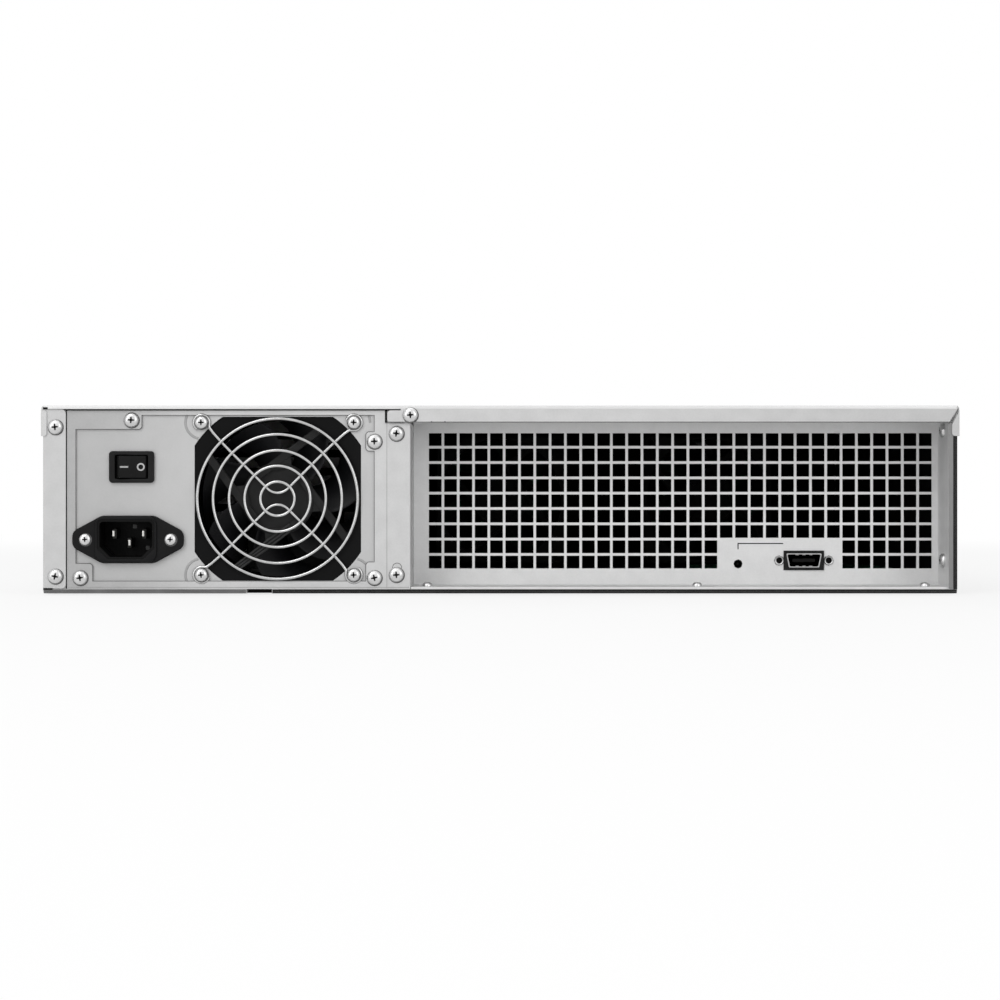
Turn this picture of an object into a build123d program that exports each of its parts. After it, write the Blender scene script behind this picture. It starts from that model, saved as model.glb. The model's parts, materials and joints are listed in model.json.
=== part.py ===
from build123d import *
import math
import os

# A disk shelf enclosure two rack units high. Millimetres, +Z up, the disk trays at the front (-Y) and the
# power supply and cabled port at the rear (+Y). The origin is the middle of the underside.
# Rear views are drawn in (u, z) with u to the right as seen from behind, so u runs along -X.

# Chassis sheet metal
case_w = 428.7            # over the tub's walls
case_d = 660.0            # front edge to rear face
case_h = 88.0             # two rack units less the clearance
sheet = 1.0               # tub, panels and brackets
cover_sheet = 0.8
bend = 1.0                # centre-line radius of a bend
seam = 0.1                # play where two sheets lie side by side
wall_drop = 1.0           # the tub's walls end this far under the cover
fold_depth = 10.0         # doubled edge at the tub's rear
cover_side = 14.2         # the cover's flanges reach this far down the walls
cover_turn = 1.6          # short turned edge along the rear of the cover
flange_w = 10.6           # the tub's rear flange beside the supply
flange_r = 2.0
flange_inset = 0.3        # the flange ends this far from the fold and the cover
notch_w = 12.0            # notch in the floor's rear edge
notch_depth = 8.0
notch_shift = 15.55       # from the supply's middle
corner_tab_left = 1.75    # the cover's corner tabs lap over the tub's rear corners
corner_tab_right = 2.55
mitre_w = 4.0

# Round forms that repeat are drawn with few sides
bore_sides = 18
hub_sides = 10
screw_sides = 8
hoop_step = 15.0          # length of one side of a guard ring
post_sides = 6
pin_sides = 6

# Derived planes
rear = case_d / 2
front = -case_d / 2
wall_out = case_w / 2
wall_in = wall_out - sheet
floor_top = sheet
fold_top = 2 * sheet
cover_under = case_h - cover_sheet
cover_out = wall_out + seam + cover_sheet
cover_back = rear + cover_sheet
frame_back = rear - sheet
frame_front = frame_back - sheet

# Fans
supply_head = 3.2         # the case is this much taller than the supply
supply_h = case_h - supply_head
fan_room = 4.8            # height the case leaves over the fan
fan_size = supply_h - fan_room
fan_depth = 25.0
fan_rim = 2.0
fan_bore_r = fan_size / 2 - fan_rim
fan_corner_r = 4.0
fan_hole_in = 4.25
fan_pitch = fan_size - 2 * fan_hole_in       # between screw holes
blade_clear = 1.2
blade_in = 1.5            # blade's root inside the hub
blade_gap = 1.0           # hub's length left bare of the blades
strut_short = 2.0         # strut's outer end short of the bore's radius
fan_tip_r = fan_bore_r - blade_clear
fan_hub_r = 16.0
fan_blades = 7
blade_t = 1.4
blade_pitch_deg = 38.0
strut_w = 3.8
strut_t = 3.0
motor_r = 17.0
rotor_inset = 3.0         # the blades end this far inside the frame's front
rotor_gap = 1.0           # hub to motor disc
shaft_r = 2.0
shaft_play = 0.05
shaft_in = 2.0            # length of shaft inside the motor disc

# Power supply, of the common desktop pattern: 150 wide with an 80 fan
fan_side_gap = 10.9       # fan to the supply's right side
inlet_side = 59.1         # fan to its left side, room for inlet and switch
supply_w = fan_size + fan_side_gap + inlet_side
supply_d = 140.0
supply_sheet = 1.0
supply_play = 0.2         # between the supply and the sheets beside it
supply_u = -wall_out + flange_w + supply_play + supply_w / 2
supply_z = fold_top + seam + supply_h / 2
supply_front = frame_front - supply_d
mount_in_right = 5.5      # screw places from the supply's edges
mount_in_left = 6.5
mount_in_top_left = 30.5
mount_up = 5.2
mount_down = 5.6
mount_down_mid = 15.6
mount_right = supply_w / 2 - mount_in_right
mount_left_low = supply_w / 2 - mount_in_left
mount_left_high = supply_w / 2 - mount_in_top_left
mount_low = supply_h / 2 - mount_up
mount_high = supply_h / 2 - mount_down
mount_mid = supply_h / 2 - mount_down_mid
vent_rows = 8             # slots in the supply's front wall
supply_vent_h = 4.0
supply_vent_share = 0.7
fan_u = supply_w / 2 - fan_side_gap - fan_size / 2
fan_z = -0.1
window_rim = 0.9
fan_window_w = fan_size - 2 * window_rim    # window in the supply's rear wall, a square cut by a circle
window_rim_z = 1.5
fan_window_h = fan_size - 2 * window_rim_z
fan_window_r = 0.58 * fan_size

# Wire guard over the supply fan
wire_d = 1.5
rings = 5
ring_in = 0.4
ring_outer_r = fan_bore_r - ring_in
ring_inner_r = 8.0
support_tip = 2.8         # the support wires' bends lie this far from the centre
support_bend_r = 6.8
eyelet_r = 2.0            # middle of the wire round a screw

# Mains switch
switch_in = 30.6
switch_u = switch_in - supply_w / 2
switch_z = 14.8
bezel_w = 21.2
bezel_h = 14.9
bezel_proud = 2.0
bezel_corner = 1.4
bezel_lap = 1.0           # the bezel covers its hole by this much
switch_body_depth = 14.0
rocker_w = 14.7
rocker_h = 10.4
rocker_play = 0.3
rocker_tilt = 9.0         # degrees each side of level
rocker_back = 3.0         # pivot to the rocker's back
rocker_crown = 3.0        # pivot to the middle of its two pads

# Mains inlet
inlet_in = 29.0
inlet_u = inlet_in - supply_w / 2
inlet_z = -19.2
inlet_w = 49.0
inlet_h = 22.4
inlet_ear_r = 5.0
inlet_pitch = 40.0
inlet_flange_t = 2.6
inlet_face_w = 29.0
inlet_face_t = 3.6
inlet_face_drop = 0.5     # the raised face is this much lower than the flange at each edge
inlet_body_w = 27.0
inlet_body_h = 20.0
inlet_back = 17.0
cavity_w = 24.7
cavity_h = 16.5
cavity_chamfer = 5.0
cavity_floor = 1.8
blade_spacing = 14.0
blade_w = 2.0
blade_h = 4.8
blade_len = 12.0
blade_rise = 2.6
ground_drop = 1.7

# Frame panel round the supply
frame_side = 14.15        # tub wall to the opening
frame_tab_side = 22.05    # tub wall to the edge of the lower left tab
frame_foot = 5.7          # underside to the opening
frame_head_drop = 4.4
frame_head = case_h - frame_head_drop
frame_tab_top = 14.0
frame_tab_h = 9.0
frame_tab_w = 4.0
frame_tab_r = 1.6
upper_tab_drop = 11.0
frame_upper_tab = case_h - upper_tab_drop
frame_step = 31.0         # length of the upper left tab
frame_top_drop = 2.2
frame_top = case_h - frame_top_drop
bar_right = 17.1          # opening's right edge to the panel's right flange
lip_notch = 6.1           # height cut away for the cover's lip
lip_notch_w = 12.1

# Recessed grille panel
recess = 38.0
hole_pitch = 7.4
hole_side = 5.8
hole_low = 13.8           # height of the lowest row
hole_head = 14.9          # the rows end this far below the top of the case
hole_left = 10.45         # panel's left edge to the first column
hole_right = 5.9          # last column to the side flange
panel_foot = 36.5
panel_side = 34.0
panel_head = 14.0
blank_left = 41.2         # plain area round the port, from the port's centre
blank_right = 18.1
blank_top = 10.3

# Cabled port and its light
port_from_wall = 66.65
port_z = 14.6
port_w = 19.2
port_h = 9.1
port_proud = 1.0
port_depth = 18.0
port_play = 0.2
shell_w = 16.4
shell_h = 6.5
shell_slant = 1.2
shell_depth = 9.0
tongue_w = 11.0
tongue_t = 1.6
tongue_len = 7.5
post_offset = 11.95
post_r = 2.3
post_bore_r = 1.4
post_bore_depth = 6.0
post_play = 0.2
post_lobe = 8.0           # width of housing for both posts
ear_depth = 6.0
light_from_port = 31.8
light_drop = 1.7
light_r = 1.9
light_len = 6.0
light_in = 3.0            # length behind the panel

# Cover lip
lip_lap = 10.95           # the lip starts this far over the frame panel
lip_drop = 7.8
lip_low = case_h - lip_drop
slit_in = 4.75            # frame panel's edge to the slit in the cover's turned edge
slit_w = 0.6
lip_r = 1.5
tab_r = 1.2
tab_mitre = 1.0           # rise of the right corner tab's slanted end

# Divider beside the supply
divider_d = 150.0
divider_flange = 9.3
divider_ear = 8.0
divider_foot = 10.0

# Drive bays
columns = 4
rows = 3
bay_base = 2.0            # underside of the case to the lowest bay
bay_head = 2.0            # highest bay to the top of the case
bay_side = 2.35           # outer bays to the tub's outside
bay_w = (case_w - 2 * bay_side) / columns
bay_h = (case_h - bay_base - bay_head) / rows
cage_d = 174.0
cage_inset = 1.0          # the cage starts this far behind the case's front
runner_w = 1.6
runner_t = 0.7
runner_play = 0.1
disk_room = 4.4
disk_w = bay_w - disk_room
disk_play = 0.2           # each side, between the disk and the tray's rails
tray_sheet = 0.8
tray_rail_t = 1.0
rail_drop = 11.0
tray_rail_h = bay_h - rail_drop
tray_l = 164.0
tray_floor_gap = 0.8      # the tray's underside stands this far above the bay's lower edge
tray_window_margin = 17.8
tray_window_w = disk_w - 2 * tray_window_margin
tray_window_l = 66.0
face_gap = 1.5
face_w = bay_w - face_gap
face_h = bay_h - face_gap
face_d = 20.0
face_rim = 2.0
face_post_w = 13.0
lever_pivot_in = 5.75
lever_pivot_x = lever_pivot_in - face_w / 2
lever_barrel_r = 3.2
lever_t = 3.4
lever_play = 0.4
lever_tip_gap = 0.6
lever_slot_h = 4.6
lever_slot_inset = 9.0
lever_slot_rise = 4.8
lever_pin_r = 1.5
pin_play = 0.05
lever_cam = 8.0
lever_cam_t = 3.0

# Backplane and its sockets
backplane_t = 2.0
socket_w = 42.0
socket_h = 7.0
socket_d = 8.0
socket_foot = 6.0
socket_drop = bay_h / 2 - socket_foot     # below the bay's centre
socket_end = 3.0          # socket's end to its slot
socket_slot_depth = 5.0
socket_slot = 2.4
vent_margin = 21.0
vent_w = bay_w - 2 * vent_margin
vent_h = 8.0
vent_rise = 5.0           # above the bay's centre
board_side_gap = 1.0      # boards and walls across the tub stand clear of its sides
board_top_gap = 0.5

# Fan wall
fan_wall_gap = 40.0       # backplane to fan wall
system_fans = 3
fan_side = 19.35
fan_spacing = (case_w - 2 * fan_side) / system_fans
fan_rise = 2.0            # fan to the wall's foot
fan_wall_foot = 12.0

# Rack ears and handles
ear_t = 2.5
ear_w = 26.95             # with the case, the 482.6 of the rack standard
ear_span = case_w + 2 * ear_w
ear_leg = 40.0
ear_leg_low = 6.0
ear_leg_drop = 18.0
ear_leg_high = case_h - ear_leg_drop
rack_hole_in = 8.75
rack_hole_x = ear_span - 2 * rack_hole_in
rack_hole_end = 5.9
rack_hole_z = case_h - 2 * rack_hole_end
rack_slot_l = 10.0
rack_slot_h = 6.8
handle_inset = 7.0        # tub wall to the handle's middle
handle_w = 8.0
handle_t = 7.0
handle_reach = 32.0
handle_low = 18.0
handle_drop = 18.0
handle_high = case_h - handle_drop
handle_bend = 9.0
cover_gap = 0.5
cover_front = front + ear_t + cover_gap

# Screws
case_head_r = 3.5
case_head_t = 2.0
guard_head_r = 3.1
guard_head_t = 1.9
inlet_head_r = 2.8
inlet_head_t = 1.6
floor_head_r = 2.35
floor_head_t = 1.8
side_screw_inset = 20.0   # grille panel screws, from the rear face
floor_screw_inset = 11.5
ear_screw_y = 20.0
ear_screw_rise = 0.25 * case_h
flange_screw_low = 8.0
flange_screw_drop = 10.0
flange_screw_high = case_h - flange_screw_drop
flange_screw_shift = 0.5
bar_screw_low = 8.7
bar_screw_drop = 13.0
bar_screw_high = case_h - bar_screw_drop
lip_screw_in = 4.6        # slit to the lip's screw
lip_screw_drop = 0.5
wall_screw_low = 15.0
wall_screw_drop = 11.0
wall_screw_high = case_h - wall_screw_drop
floor_screw_left = 7.4    # grille panel's edges to the outer floor screws
floor_screw_right = 11.5
floor_screw_shift = 10.0

# Supply's inner parts
standoff_r = 3.0
standoff_inset = 8.0
supply_board_rise = 6.0
supply_board_side = 4.0   # case to board
supply_board_front = 6.0
supply_board_back = 4.0   # board to fan
transformer_w = 38.0
transformer_l = 30.0
transformer_h = 34.0
transformer_back = 40.0   # from the board's rear edge
coil_r = 11.0
coil_bore_r = 5.0
coil_h = 12.0
coil_side = 34.0
coil_back = 22.0
can_r = 11.0
can_h = 32.0
can_side = 14.0
can_back = 76.0
sink_w = 40.0
sink_base = 3.0
sink_fin = 14.0
sink_fins = 3
sink_h = 50.0
sink_back = 50.0
sink_in_left = 15.0
sink_in_right = 45.0
sink_left = supply_w / 2 - sink_in_left   # each side of the supply's middle
sink_right = supply_w / 2 - sink_in_right

# Port's circuit board
board_t = 1.6
board_w = 95.0
board_l = 110.0
board_side = 47.0         # port centre to the board's left edge
board_gap = 1.0           # board to the panel
chip_sink_fins = 5
chip_sink_fin_t = 2.0
chip_sink_h = 14.0
chip_sink_l = 40.0
chip_sink_back = 80.0     # board's edge to the heat sink's far end


def rear_view(y):
    """Plane at depth y drawn as seen from behind: x is u, y is z, and it extrudes towards the rear."""
    return Plane(origin=(0, y, 0), x_dir=(-1, 0, 0), z_dir=(0, 1, 0))


def front_view(y):
    """Plane at depth y drawn as seen from the front, extruding towards the front."""
    return Plane(origin=(0, y, 0), x_dir=(1, 0, 0), z_dir=(0, -1, 0))


def side_view(x):
    """Plane at x drawn in (y, z), extruding towards +X."""
    return Plane(origin=(x, 0, 0), x_dir=(0, 1, 0), z_dir=(1, 0, 0))


def rect(left, right, low, high):
    """A rectangle from its four edges."""
    return Pos((left + right) / 2, (low + high) / 2) * Rectangle(right - left, high - low)


def outline(*points):
    """A closed flat face through the points."""
    return make_face(Polyline(*points, close=True))


def plate(view, face, thickness):
    """A sheet cut to a flat outline."""
    return extrude(view * face, thickness)


def bent(points, thickness, radius):
    """The section of a bent sheet, drawn along its centre line."""
    return trace(FilletPolyline(*points, radius=radius), line_width=thickness)


def save(name, shape):
    """Writes one node, a shape or a list of separate solids."""
    solids = shape if isinstance(shape, list) else [shape]
    solids = [s for item in solids for s in item.solids()]
    for s in solids:
        s.color = None
    out = solids[0] if len(solids) == 1 else Compound(children=solids)
    out.label = name
    export_step(out, f"parts/{name}.step")


def fan_center(view_y):
    """The supply fan's axis on a rear view at depth view_y."""
    return rear_view(view_y) * Pos(supply_u + fan_u, supply_z + fan_z)


def four(offset_u, offset_z):
    """The four corners of a rectangular pattern."""
    return [(a * offset_u, b * offset_z) for a in (-1, 1) for b in (-1, 1)]


# Sheet metal of the chassis

def chassis_tub():
    """Floor and walls bent from one sheet, with doubled rear edges and the flange beside the supply."""
    top = cover_under - wall_drop
    half = wall_out - sheet / 2
    base = sheet / 2
    section = bent([(-half, top), (-half, base), (half, base), (half, top)], sheet, bend)
    tub = extrude(rear_view(front) * section, case_d)
    fold = rear_view(rear - fold_depth)
    floor_fold = rect(-wall_in, wall_in, floor_top, fold_top)
    wall_fold = rect(wall_in - sheet, wall_in, floor_top, top)
    flange = rect(-wall_out, -wall_out + flange_w, fold_top + flange_inset, case_h - cover_turn - seam)
    flange = fillet(flange.vertices().sort_by(Axis.X)[-2:], flange_r)
    notch_u = supply_u + notch_shift
    notch = rect(notch_u - notch_w / 2, notch_u + notch_w / 2, 0, fold_top)
    tub += plate(fold, floor_fold + wall_fold, fold_depth)
    tub += plate(rear_view(frame_back), flange, sheet)
    return tub - plate(rear_view(rear - notch_depth), notch, notch_depth)


def top_cover():
    """Lid with side flanges, a short turned rear edge and two corner tabs, and the deep lip welded under it."""
    t = cover_sheet
    half = cover_out - t / 2
    low = case_h - cover_side
    section = bent([(-half, low), (-half, case_h - t / 2), (half, case_h - t / 2), (half, low)], t, bend)
    cover = extrude(rear_view(cover_front) * section, rear - cover_front)
    turn_low = case_h - cover_turn
    turned = rect(-wall_out, wall_out, turn_low, case_h)
    lip_left = frame_right() - lip_lap
    lip_right = wall_out - mitre_w
    slit_u = frame_right() - slit_in
    lip_face = outline((slit_u, lip_low), (lip_right, lip_low), (wall_out, turn_low), (slit_u, turn_low))
    toe = rect(lip_left, slit_u, lip_low, frame_top)
    toe = fillet(toe.vertices().group_by(Axis.X)[0], lip_r)
    slit = rect(slit_u - slit_w, slit_u, frame_top, case_h)
    tab_top = frame_top
    left_tab = rect(-cover_out, -wall_out + corner_tab_left, low, tab_top)
    left_tab = fillet(left_tab.vertices().group_by(Axis.X)[-1], tab_r)
    tab_left = wall_out - corner_tab_right
    right_tab = outline((cover_out, low), (tab_left, low), (tab_left, lip_low - tab_mitre), (cover_out, tab_top))
    right_tab = fillet(right_tab.vertices().group_by(Axis.Y)[0].sort_by(Axis.X)[:1], lip_r)
    edge = turned + left_tab + right_tab - slit
    return [cover + plate(rear_view(rear), edge, t), plate(rear_view(rear), lip_face + toe - right_tab, t)]


def frame_opening():
    """The opening in the frame panel, with the tabs that carry the supply's screws."""
    left = -wall_out + frame_side + sheet
    right = supply_u + mount_right
    step = left + frame_step
    tab_right = right - frame_tab_w
    tab_left = -wall_out + frame_tab_side + sheet
    opening = rect(left, right, frame_foot, frame_head)
    upper_left = rect(left, step, frame_upper_tab, frame_head)
    lower_left = rect(left, tab_left, frame_foot, frame_tab_top)
    lower_right = rect(tab_right, right, frame_foot, frame_foot + frame_tab_h)
    mid = supply_z + mount_mid
    upper_right = rect(tab_right, right, mid - frame_tab_h / 2, mid + frame_tab_h / 2)
    upper_left = fillet(upper_left.vertices().group_by(Axis.X)[-1].sort_by(Axis.Y)[:1], frame_tab_r)
    lower_left = fillet(lower_left.vertices().group_by(Axis.X)[-1].sort_by(Axis.Y)[-1:], frame_tab_r)
    lower_right = fillet(lower_right.vertices().group_by(Axis.X)[0].sort_by(Axis.Y)[-1:], frame_tab_r)
    upper_right = fillet(upper_right.vertices().group_by(Axis.X)[0], frame_tab_r)
    return opening - upper_left - lower_left - lower_right - upper_right


def frame_right():
    """Outer face of the frame panel's right flange, in u."""
    return supply_u + mount_right + bar_right


def rear_frame_panel():
    """Plate round the supply, notched for the cover's lip, its right side bent forward to the grille."""
    right = frame_right()
    sheet_face = rect(-wall_in + 3 * seam, right, fold_top, frame_top)
    notch = rect(right - lip_notch_w, right, frame_top - lip_notch, frame_top)
    panel = plate(rear_view(frame_front), sheet_face - notch - frame_opening(), sheet)
    flange = rect(right - sheet, right, fold_top, frame_top - lip_notch)
    panel += plate(rear_view(rear - recess - sheet), flange, recess)
    corner = panel.edges().filter_by(Axis.Z).filter_by_position(Axis.X, -right - seam, -right + seam)
    return fillet(corner.group_by(Axis.Y)[-1], sheet)


def supply_divider():
    """Wall beside the supply, with a flange behind the centre bar and a stepped ear behind the lip."""
    left = supply_u + supply_w / 2 + supply_play
    flange_right = left + divider_flange
    top = frame_top - flange_inset
    back = frame_front
    fold_line = rear - fold_depth - seam
    wall_face = outline((back - divider_d, floor_top), (fold_line, floor_top), (fold_line, fold_top + seam),
                        (back, fold_top + seam), (back, top), (back - divider_d, top))
    wall = plate(side_view(-left - sheet), wall_face, sheet)
    flange = plate(rear_view(back - sheet), rect(left, flange_right, fold_top + seam, top), sheet)
    ear_low = frame_top - lip_notch + seam
    step_left = flange_right - sheet
    step = plate(rear_view(back - sheet), rect(step_left, flange_right, ear_low, top), rear - back + sheet)
    ear = plate(rear_view(rear - sheet), rect(step_left, flange_right + divider_ear, ear_low, top), sheet)
    foot = rect(left, left + divider_foot, floor_top, floor_top + sheet)
    foot = plate(rear_view(back - divider_d), foot, divider_d - fold_depth)
    return wall + flange + step + ear + foot


def grille_left():
    """Left edge of the recessed panel, in u."""
    return frame_right() + seam


def grille_right():
    """Outer face of the recessed panel's side flange, in u."""
    return wall_in - sheet


def port_u():
    """Centre of the cabled port, in u."""
    return wall_in - port_from_wall


def hole_places():
    """Centres of the grille's square holes: a full grid less the plain area round the port."""
    first = grille_left() + hole_left
    last = grille_right() - sheet - hole_right
    columns_of_holes = math.floor((last - first) / hole_pitch + 1e-6) + 1
    rows_of_holes = math.floor((case_h - hole_head - hole_low) / hole_pitch) + 1
    places = []
    for row in range(rows_of_holes):
        for column in range(columns_of_holes):
            u = first + column * hole_pitch
            z = hole_low + row * hole_pitch
            beside = port_u() - blank_left < u < port_u() + blank_right
            if not (beside and z < port_z + blank_top):
                places.append((u, z))
    return places


def square_wire(u, z, side):
    """The edge of one square hole."""
    h = side / 2
    return Wire.make_polygon([Vector(u - h, z - h), Vector(u + h, z - h), Vector(u + h, z + h),
                              Vector(u - h, z + h)], close=True)


def grille_panel():
    """Recessed panel with its square holes, and a foot, a head and a side flange bent to the rear."""
    left = grille_left()
    right = grille_right()
    top = cover_under - seam
    face_front = rear - recess - sheet
    holes = [square_wire(u, z, hole_side) for u, z in hole_places()]
    edge = Wire.make_polygon([Vector(left, fold_top), Vector(right, fold_top), Vector(right, top),
                              Vector(left, top)], close=True)
    panel = extrude(rear_view(face_front) * Face(edge, holes), sheet)
    port = rect(port_u() - port_w / 2 - port_play, port_u() + port_w / 2 + port_play,
                port_z - port_h / 2 - port_play, port_z + port_h / 2 + port_play)
    lobes = [Pos(port_u() + side * post_offset, port_z) * RegularPolygon(post_r + post_play, screw_sides)
             for side in (-1, 1)]
    lamp = Pos(port_u() - light_from_port, port_z - light_drop) * RegularPolygon(light_r + seam, screw_sides)
    panel -= plate(rear_view(face_front), port + lobes + lamp, sheet)
    back = rear_view(rear - recess)
    panel += plate(back, rect(left, right, fold_top, fold_top + sheet), panel_foot)
    panel += plate(back, rect(right - sheet, right, fold_top, top), panel_side)
    panel += plate(back, rect(left, right, top - sheet, top), panel_head)
    return panel


# Power supply

def supply_mounts():
    """The supply's four screw places, in (u, z)."""
    right = supply_u + mount_right
    low = supply_z - mount_low
    return [(right, low), (supply_u - mount_left_low, low), (right, supply_z + mount_mid),
            (supply_u - mount_left_high, supply_z + mount_high)]


def inlet_outline():
    """The inlet's flange: a tall middle running out to a round ear at each end."""
    ear_u = inlet_w / 2 - inlet_ear_r
    ears = [Pos(side * ear_u, 0) * Circle(inlet_ear_r) for side in (-1, 1)]
    middle = Rectangle(inlet_face_w, inlet_h)
    return make_hull((ears[0] + ears[1] + middle).edges())


def supply_case():
    """Steel case: four walls, a rear wall cut for fan, inlet and switch, and a vented front wall."""
    outer = Pos(supply_u, supply_z) * Rectangle(supply_w, supply_h)
    inner = Pos(supply_u, supply_z) * Rectangle(supply_w - 2 * supply_sheet, supply_h - 2 * supply_sheet)
    case = plate(rear_view(supply_front), outer - inner, supply_d)
    window = Rectangle(fan_window_w, fan_window_h) & Circle(fan_window_r)
    window = Pos(supply_u + fan_u, supply_z + fan_z) * window
    inlet = Rectangle(inlet_body_w + 2 * seam, inlet_body_h + 2 * seam)
    inlet = Pos(supply_u + inlet_u, supply_z + inlet_z) * inlet
    switch = Pos(supply_u + switch_u, supply_z + switch_z)
    switch *= Rectangle(bezel_w - 2 * (bezel_lap - seam), bezel_h - 2 * (bezel_lap - seam))
    case += plate(rear_view(frame_front - supply_sheet), outer - window - inlet - switch, supply_sheet)
    slot = Rectangle(supply_w * supply_vent_share, supply_vent_h)
    step = supply_h / (vent_rows + 1)
    slots = [Pos(supply_u, supply_z + (i - (vent_rows - 1) / 2) * step) * slot for i in range(vent_rows)]
    case += plate(rear_view(supply_front), outer - slots, supply_sheet)
    return case


def fan_frame():
    """One fan frame about its axis: a square with a round bore, a motor disc and four struts at its rear."""
    square = Rectangle(fan_size, fan_size)
    square = chamfer(square.vertices(), fan_corner_r)
    ring = extrude(square - RegularPolygon(fan_bore_r, bore_sides), fan_depth)
    strut = Rectangle(strut_w, fan_bore_r - strut_short, align=(Align.CENTER, Align.MIN))
    strut = Pos(-motor_r + strut_w / 2, 0) * strut
    struts = [Rot(0, 0, 45 + quarter * 90) * strut for quarter in range(4)]
    spider = RegularPolygon(motor_r, hub_sides) + struts
    bearing = RegularPolygon(shaft_r + shaft_play, post_sides, major_radius=False)
    back = Pos(0, 0, fan_depth - strut_t)
    return ring + back * extrude(spider, strut_t) - back * extrude(bearing, shaft_in + shaft_play)


def fan_rotor():
    """Hub with its pitched blades, about the fan's axis, its shaft running in the motor disc."""
    low = rotor_inset
    high = fan_depth - strut_t - rotor_gap
    hub = Pos(0, 0, low) * extrude(RegularPolygon(fan_hub_r, hub_sides), high - low)
    lean = math.radians(blade_pitch_deg)
    chord = (high - low - blade_gap - blade_t) / math.cos(lean)
    reach = math.sqrt(fan_tip_r ** 2 - (chord / 2 + blade_t) ** 2)
    root = fan_hub_r - blade_in
    section = Rot(0, 0, blade_pitch_deg) * Rectangle(blade_t, chord)
    plane = Plane(origin=(root, 0, (low + high) / 2), x_dir=(0, 1, 0), z_dir=(1, 0, 0))
    blade = extrude(plane * section, reach - root)
    shaft = Pos(0, 0, high) * extrude(RegularPolygon(shaft_r, post_sides), rotor_gap + shaft_in)
    return hub + shaft + [Rot(0, 0, i * 360 / fan_blades) * blade for i in range(fan_blades)]


def supply_fan_plane():
    """The supply fan stands against the inside of the rear wall."""
    return fan_center(frame_front - supply_sheet - fan_depth)


def heat_sink(width, base, fin, fins, fin_t):
    """Comb section of a finned heat sink, its base along x."""
    step = (width - fin_t) / (fins - 1)
    combs = [rect(i * step - width / 2, i * step - width / 2 + fin_t, 0, fin) for i in range(fins)]
    return rect(-width / 2, width / 2, 0, base) + combs


def supply_internals():
    """Board on posts with its transformer, coil, capacitors and two finned heat sinks."""
    board_z = supply_z - supply_h / 2 + supply_sheet + supply_board_rise
    y0 = supply_front + supply_board_front
    y1 = frame_front - supply_sheet - fan_depth - supply_board_back
    half = supply_w / 2 - supply_sheet - supply_board_side
    middle = -supply_u
    fan_x = middle - fan_u
    board = plate(Plane.XY.offset(board_z), rect(middle - half, middle + half, y0, y1), board_t)
    top = Plane.XY.offset(board_z + board_t)
    post = RegularPolygon(standoff_r, post_sides)
    corners = four(half - standoff_inset, (y1 - y0) / 2 - standoff_inset)
    places = [(middle + a, (y0 + y1) / 2 + b) for a, b in corners]
    posts = [plate(Plane.XY.offset(board_z - supply_board_rise), Pos(x, y) * post, supply_board_rise)
             for x, y in places]
    transformer = Pos(fan_x, y1 - transformer_back) * Rectangle(transformer_w, transformer_l)
    coil = RegularPolygon(coil_r, hub_sides) - RegularPolygon(coil_bore_r, hub_sides)
    coil = Pos(fan_x + coil_side, y1 - coil_back) * coil
    can = RegularPolygon(can_r, hub_sides)
    cans = [Pos(fan_x + side * can_side, y1 - can_back) * can for side in (-1, 1)]
    sink = Rot(0, 0, 90) * heat_sink(sink_w, sink_base, sink_fin, sink_fins, sink_base)
    sinks = [plate(top, Pos(middle + x, y1 - sink_back) * sink, sink_h) for x in (-sink_left, sink_right)]
    tall = [plate(top, can, can_h) for can in cans]
    return [board] + posts + [plate(top, transformer, transformer_h), plate(top, coil, coil_h)] + tall + sinks


def fan_guard():
    """Rings of wire welded to two bent support wires, whose ends turn round the fan's screws."""
    reach = fan_pitch / 2
    arm = reach - eyelet_r / math.sqrt(2)
    bend_point = support_tip - support_bend_r * (math.sqrt(2) - 1)
    path = FilletPolyline((-arm, arm), (0, bend_point), (arm, arm), radius=support_bend_r)
    support = trace(path, line_width=wire_d)
    hook = RegularPolygon(eyelet_r + wire_d / 2, post_sides)
    hook -= RegularPolygon(eyelet_r - wire_d / 2, post_sides)
    hooks = [Pos(side * reach, reach) * hook for side in (-1, 1)]
    half = fan_center(frame_front) * extrude(support + hooks, wire_d)
    other = fan_center(frame_front) * Rot(0, 0, 180) * extrude(support + hooks, wire_d)
    hoops = []
    for i in range(rings):
        r = ring_inner_r + (ring_outer_r - ring_inner_r) * i / (rings - 1)
        sides = max(hub_sides, round(2 * math.pi * r / hoop_step))
        hoop = RegularPolygon(r + wire_d / 2, sides) - RegularPolygon(r - wire_d / 2, sides)
        hoops.append(fan_center(frame_front + wire_d) * extrude(hoop, wire_d))
    return [half, other] + hoops


def power_inlet():
    """Moulded inlet: flange, raised face, body through the case and the shaped cavity."""
    place = Pos(supply_u + inlet_u, supply_z + inlet_z)
    flange = plate(rear_view(frame_front) * place, inlet_outline(), inlet_flange_t)
    face = Rectangle(inlet_face_w, inlet_h - 2 * inlet_face_drop)
    face = plate(rear_view(frame_front) * place, face, inlet_face_t)
    body = Rectangle(inlet_body_w, inlet_body_h)
    body = plate(rear_view(frame_front - inlet_back) * place, body, inlet_back)
    cavity = Rectangle(cavity_w, cavity_h)
    cavity = chamfer(cavity.vertices().group_by(Axis.Y)[0], cavity_chamfer)
    depth = inlet_back + inlet_face_t - cavity_floor
    return flange + face + body - plate(rear_view(frame_front + inlet_face_t - depth) * place, cavity, depth)


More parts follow.
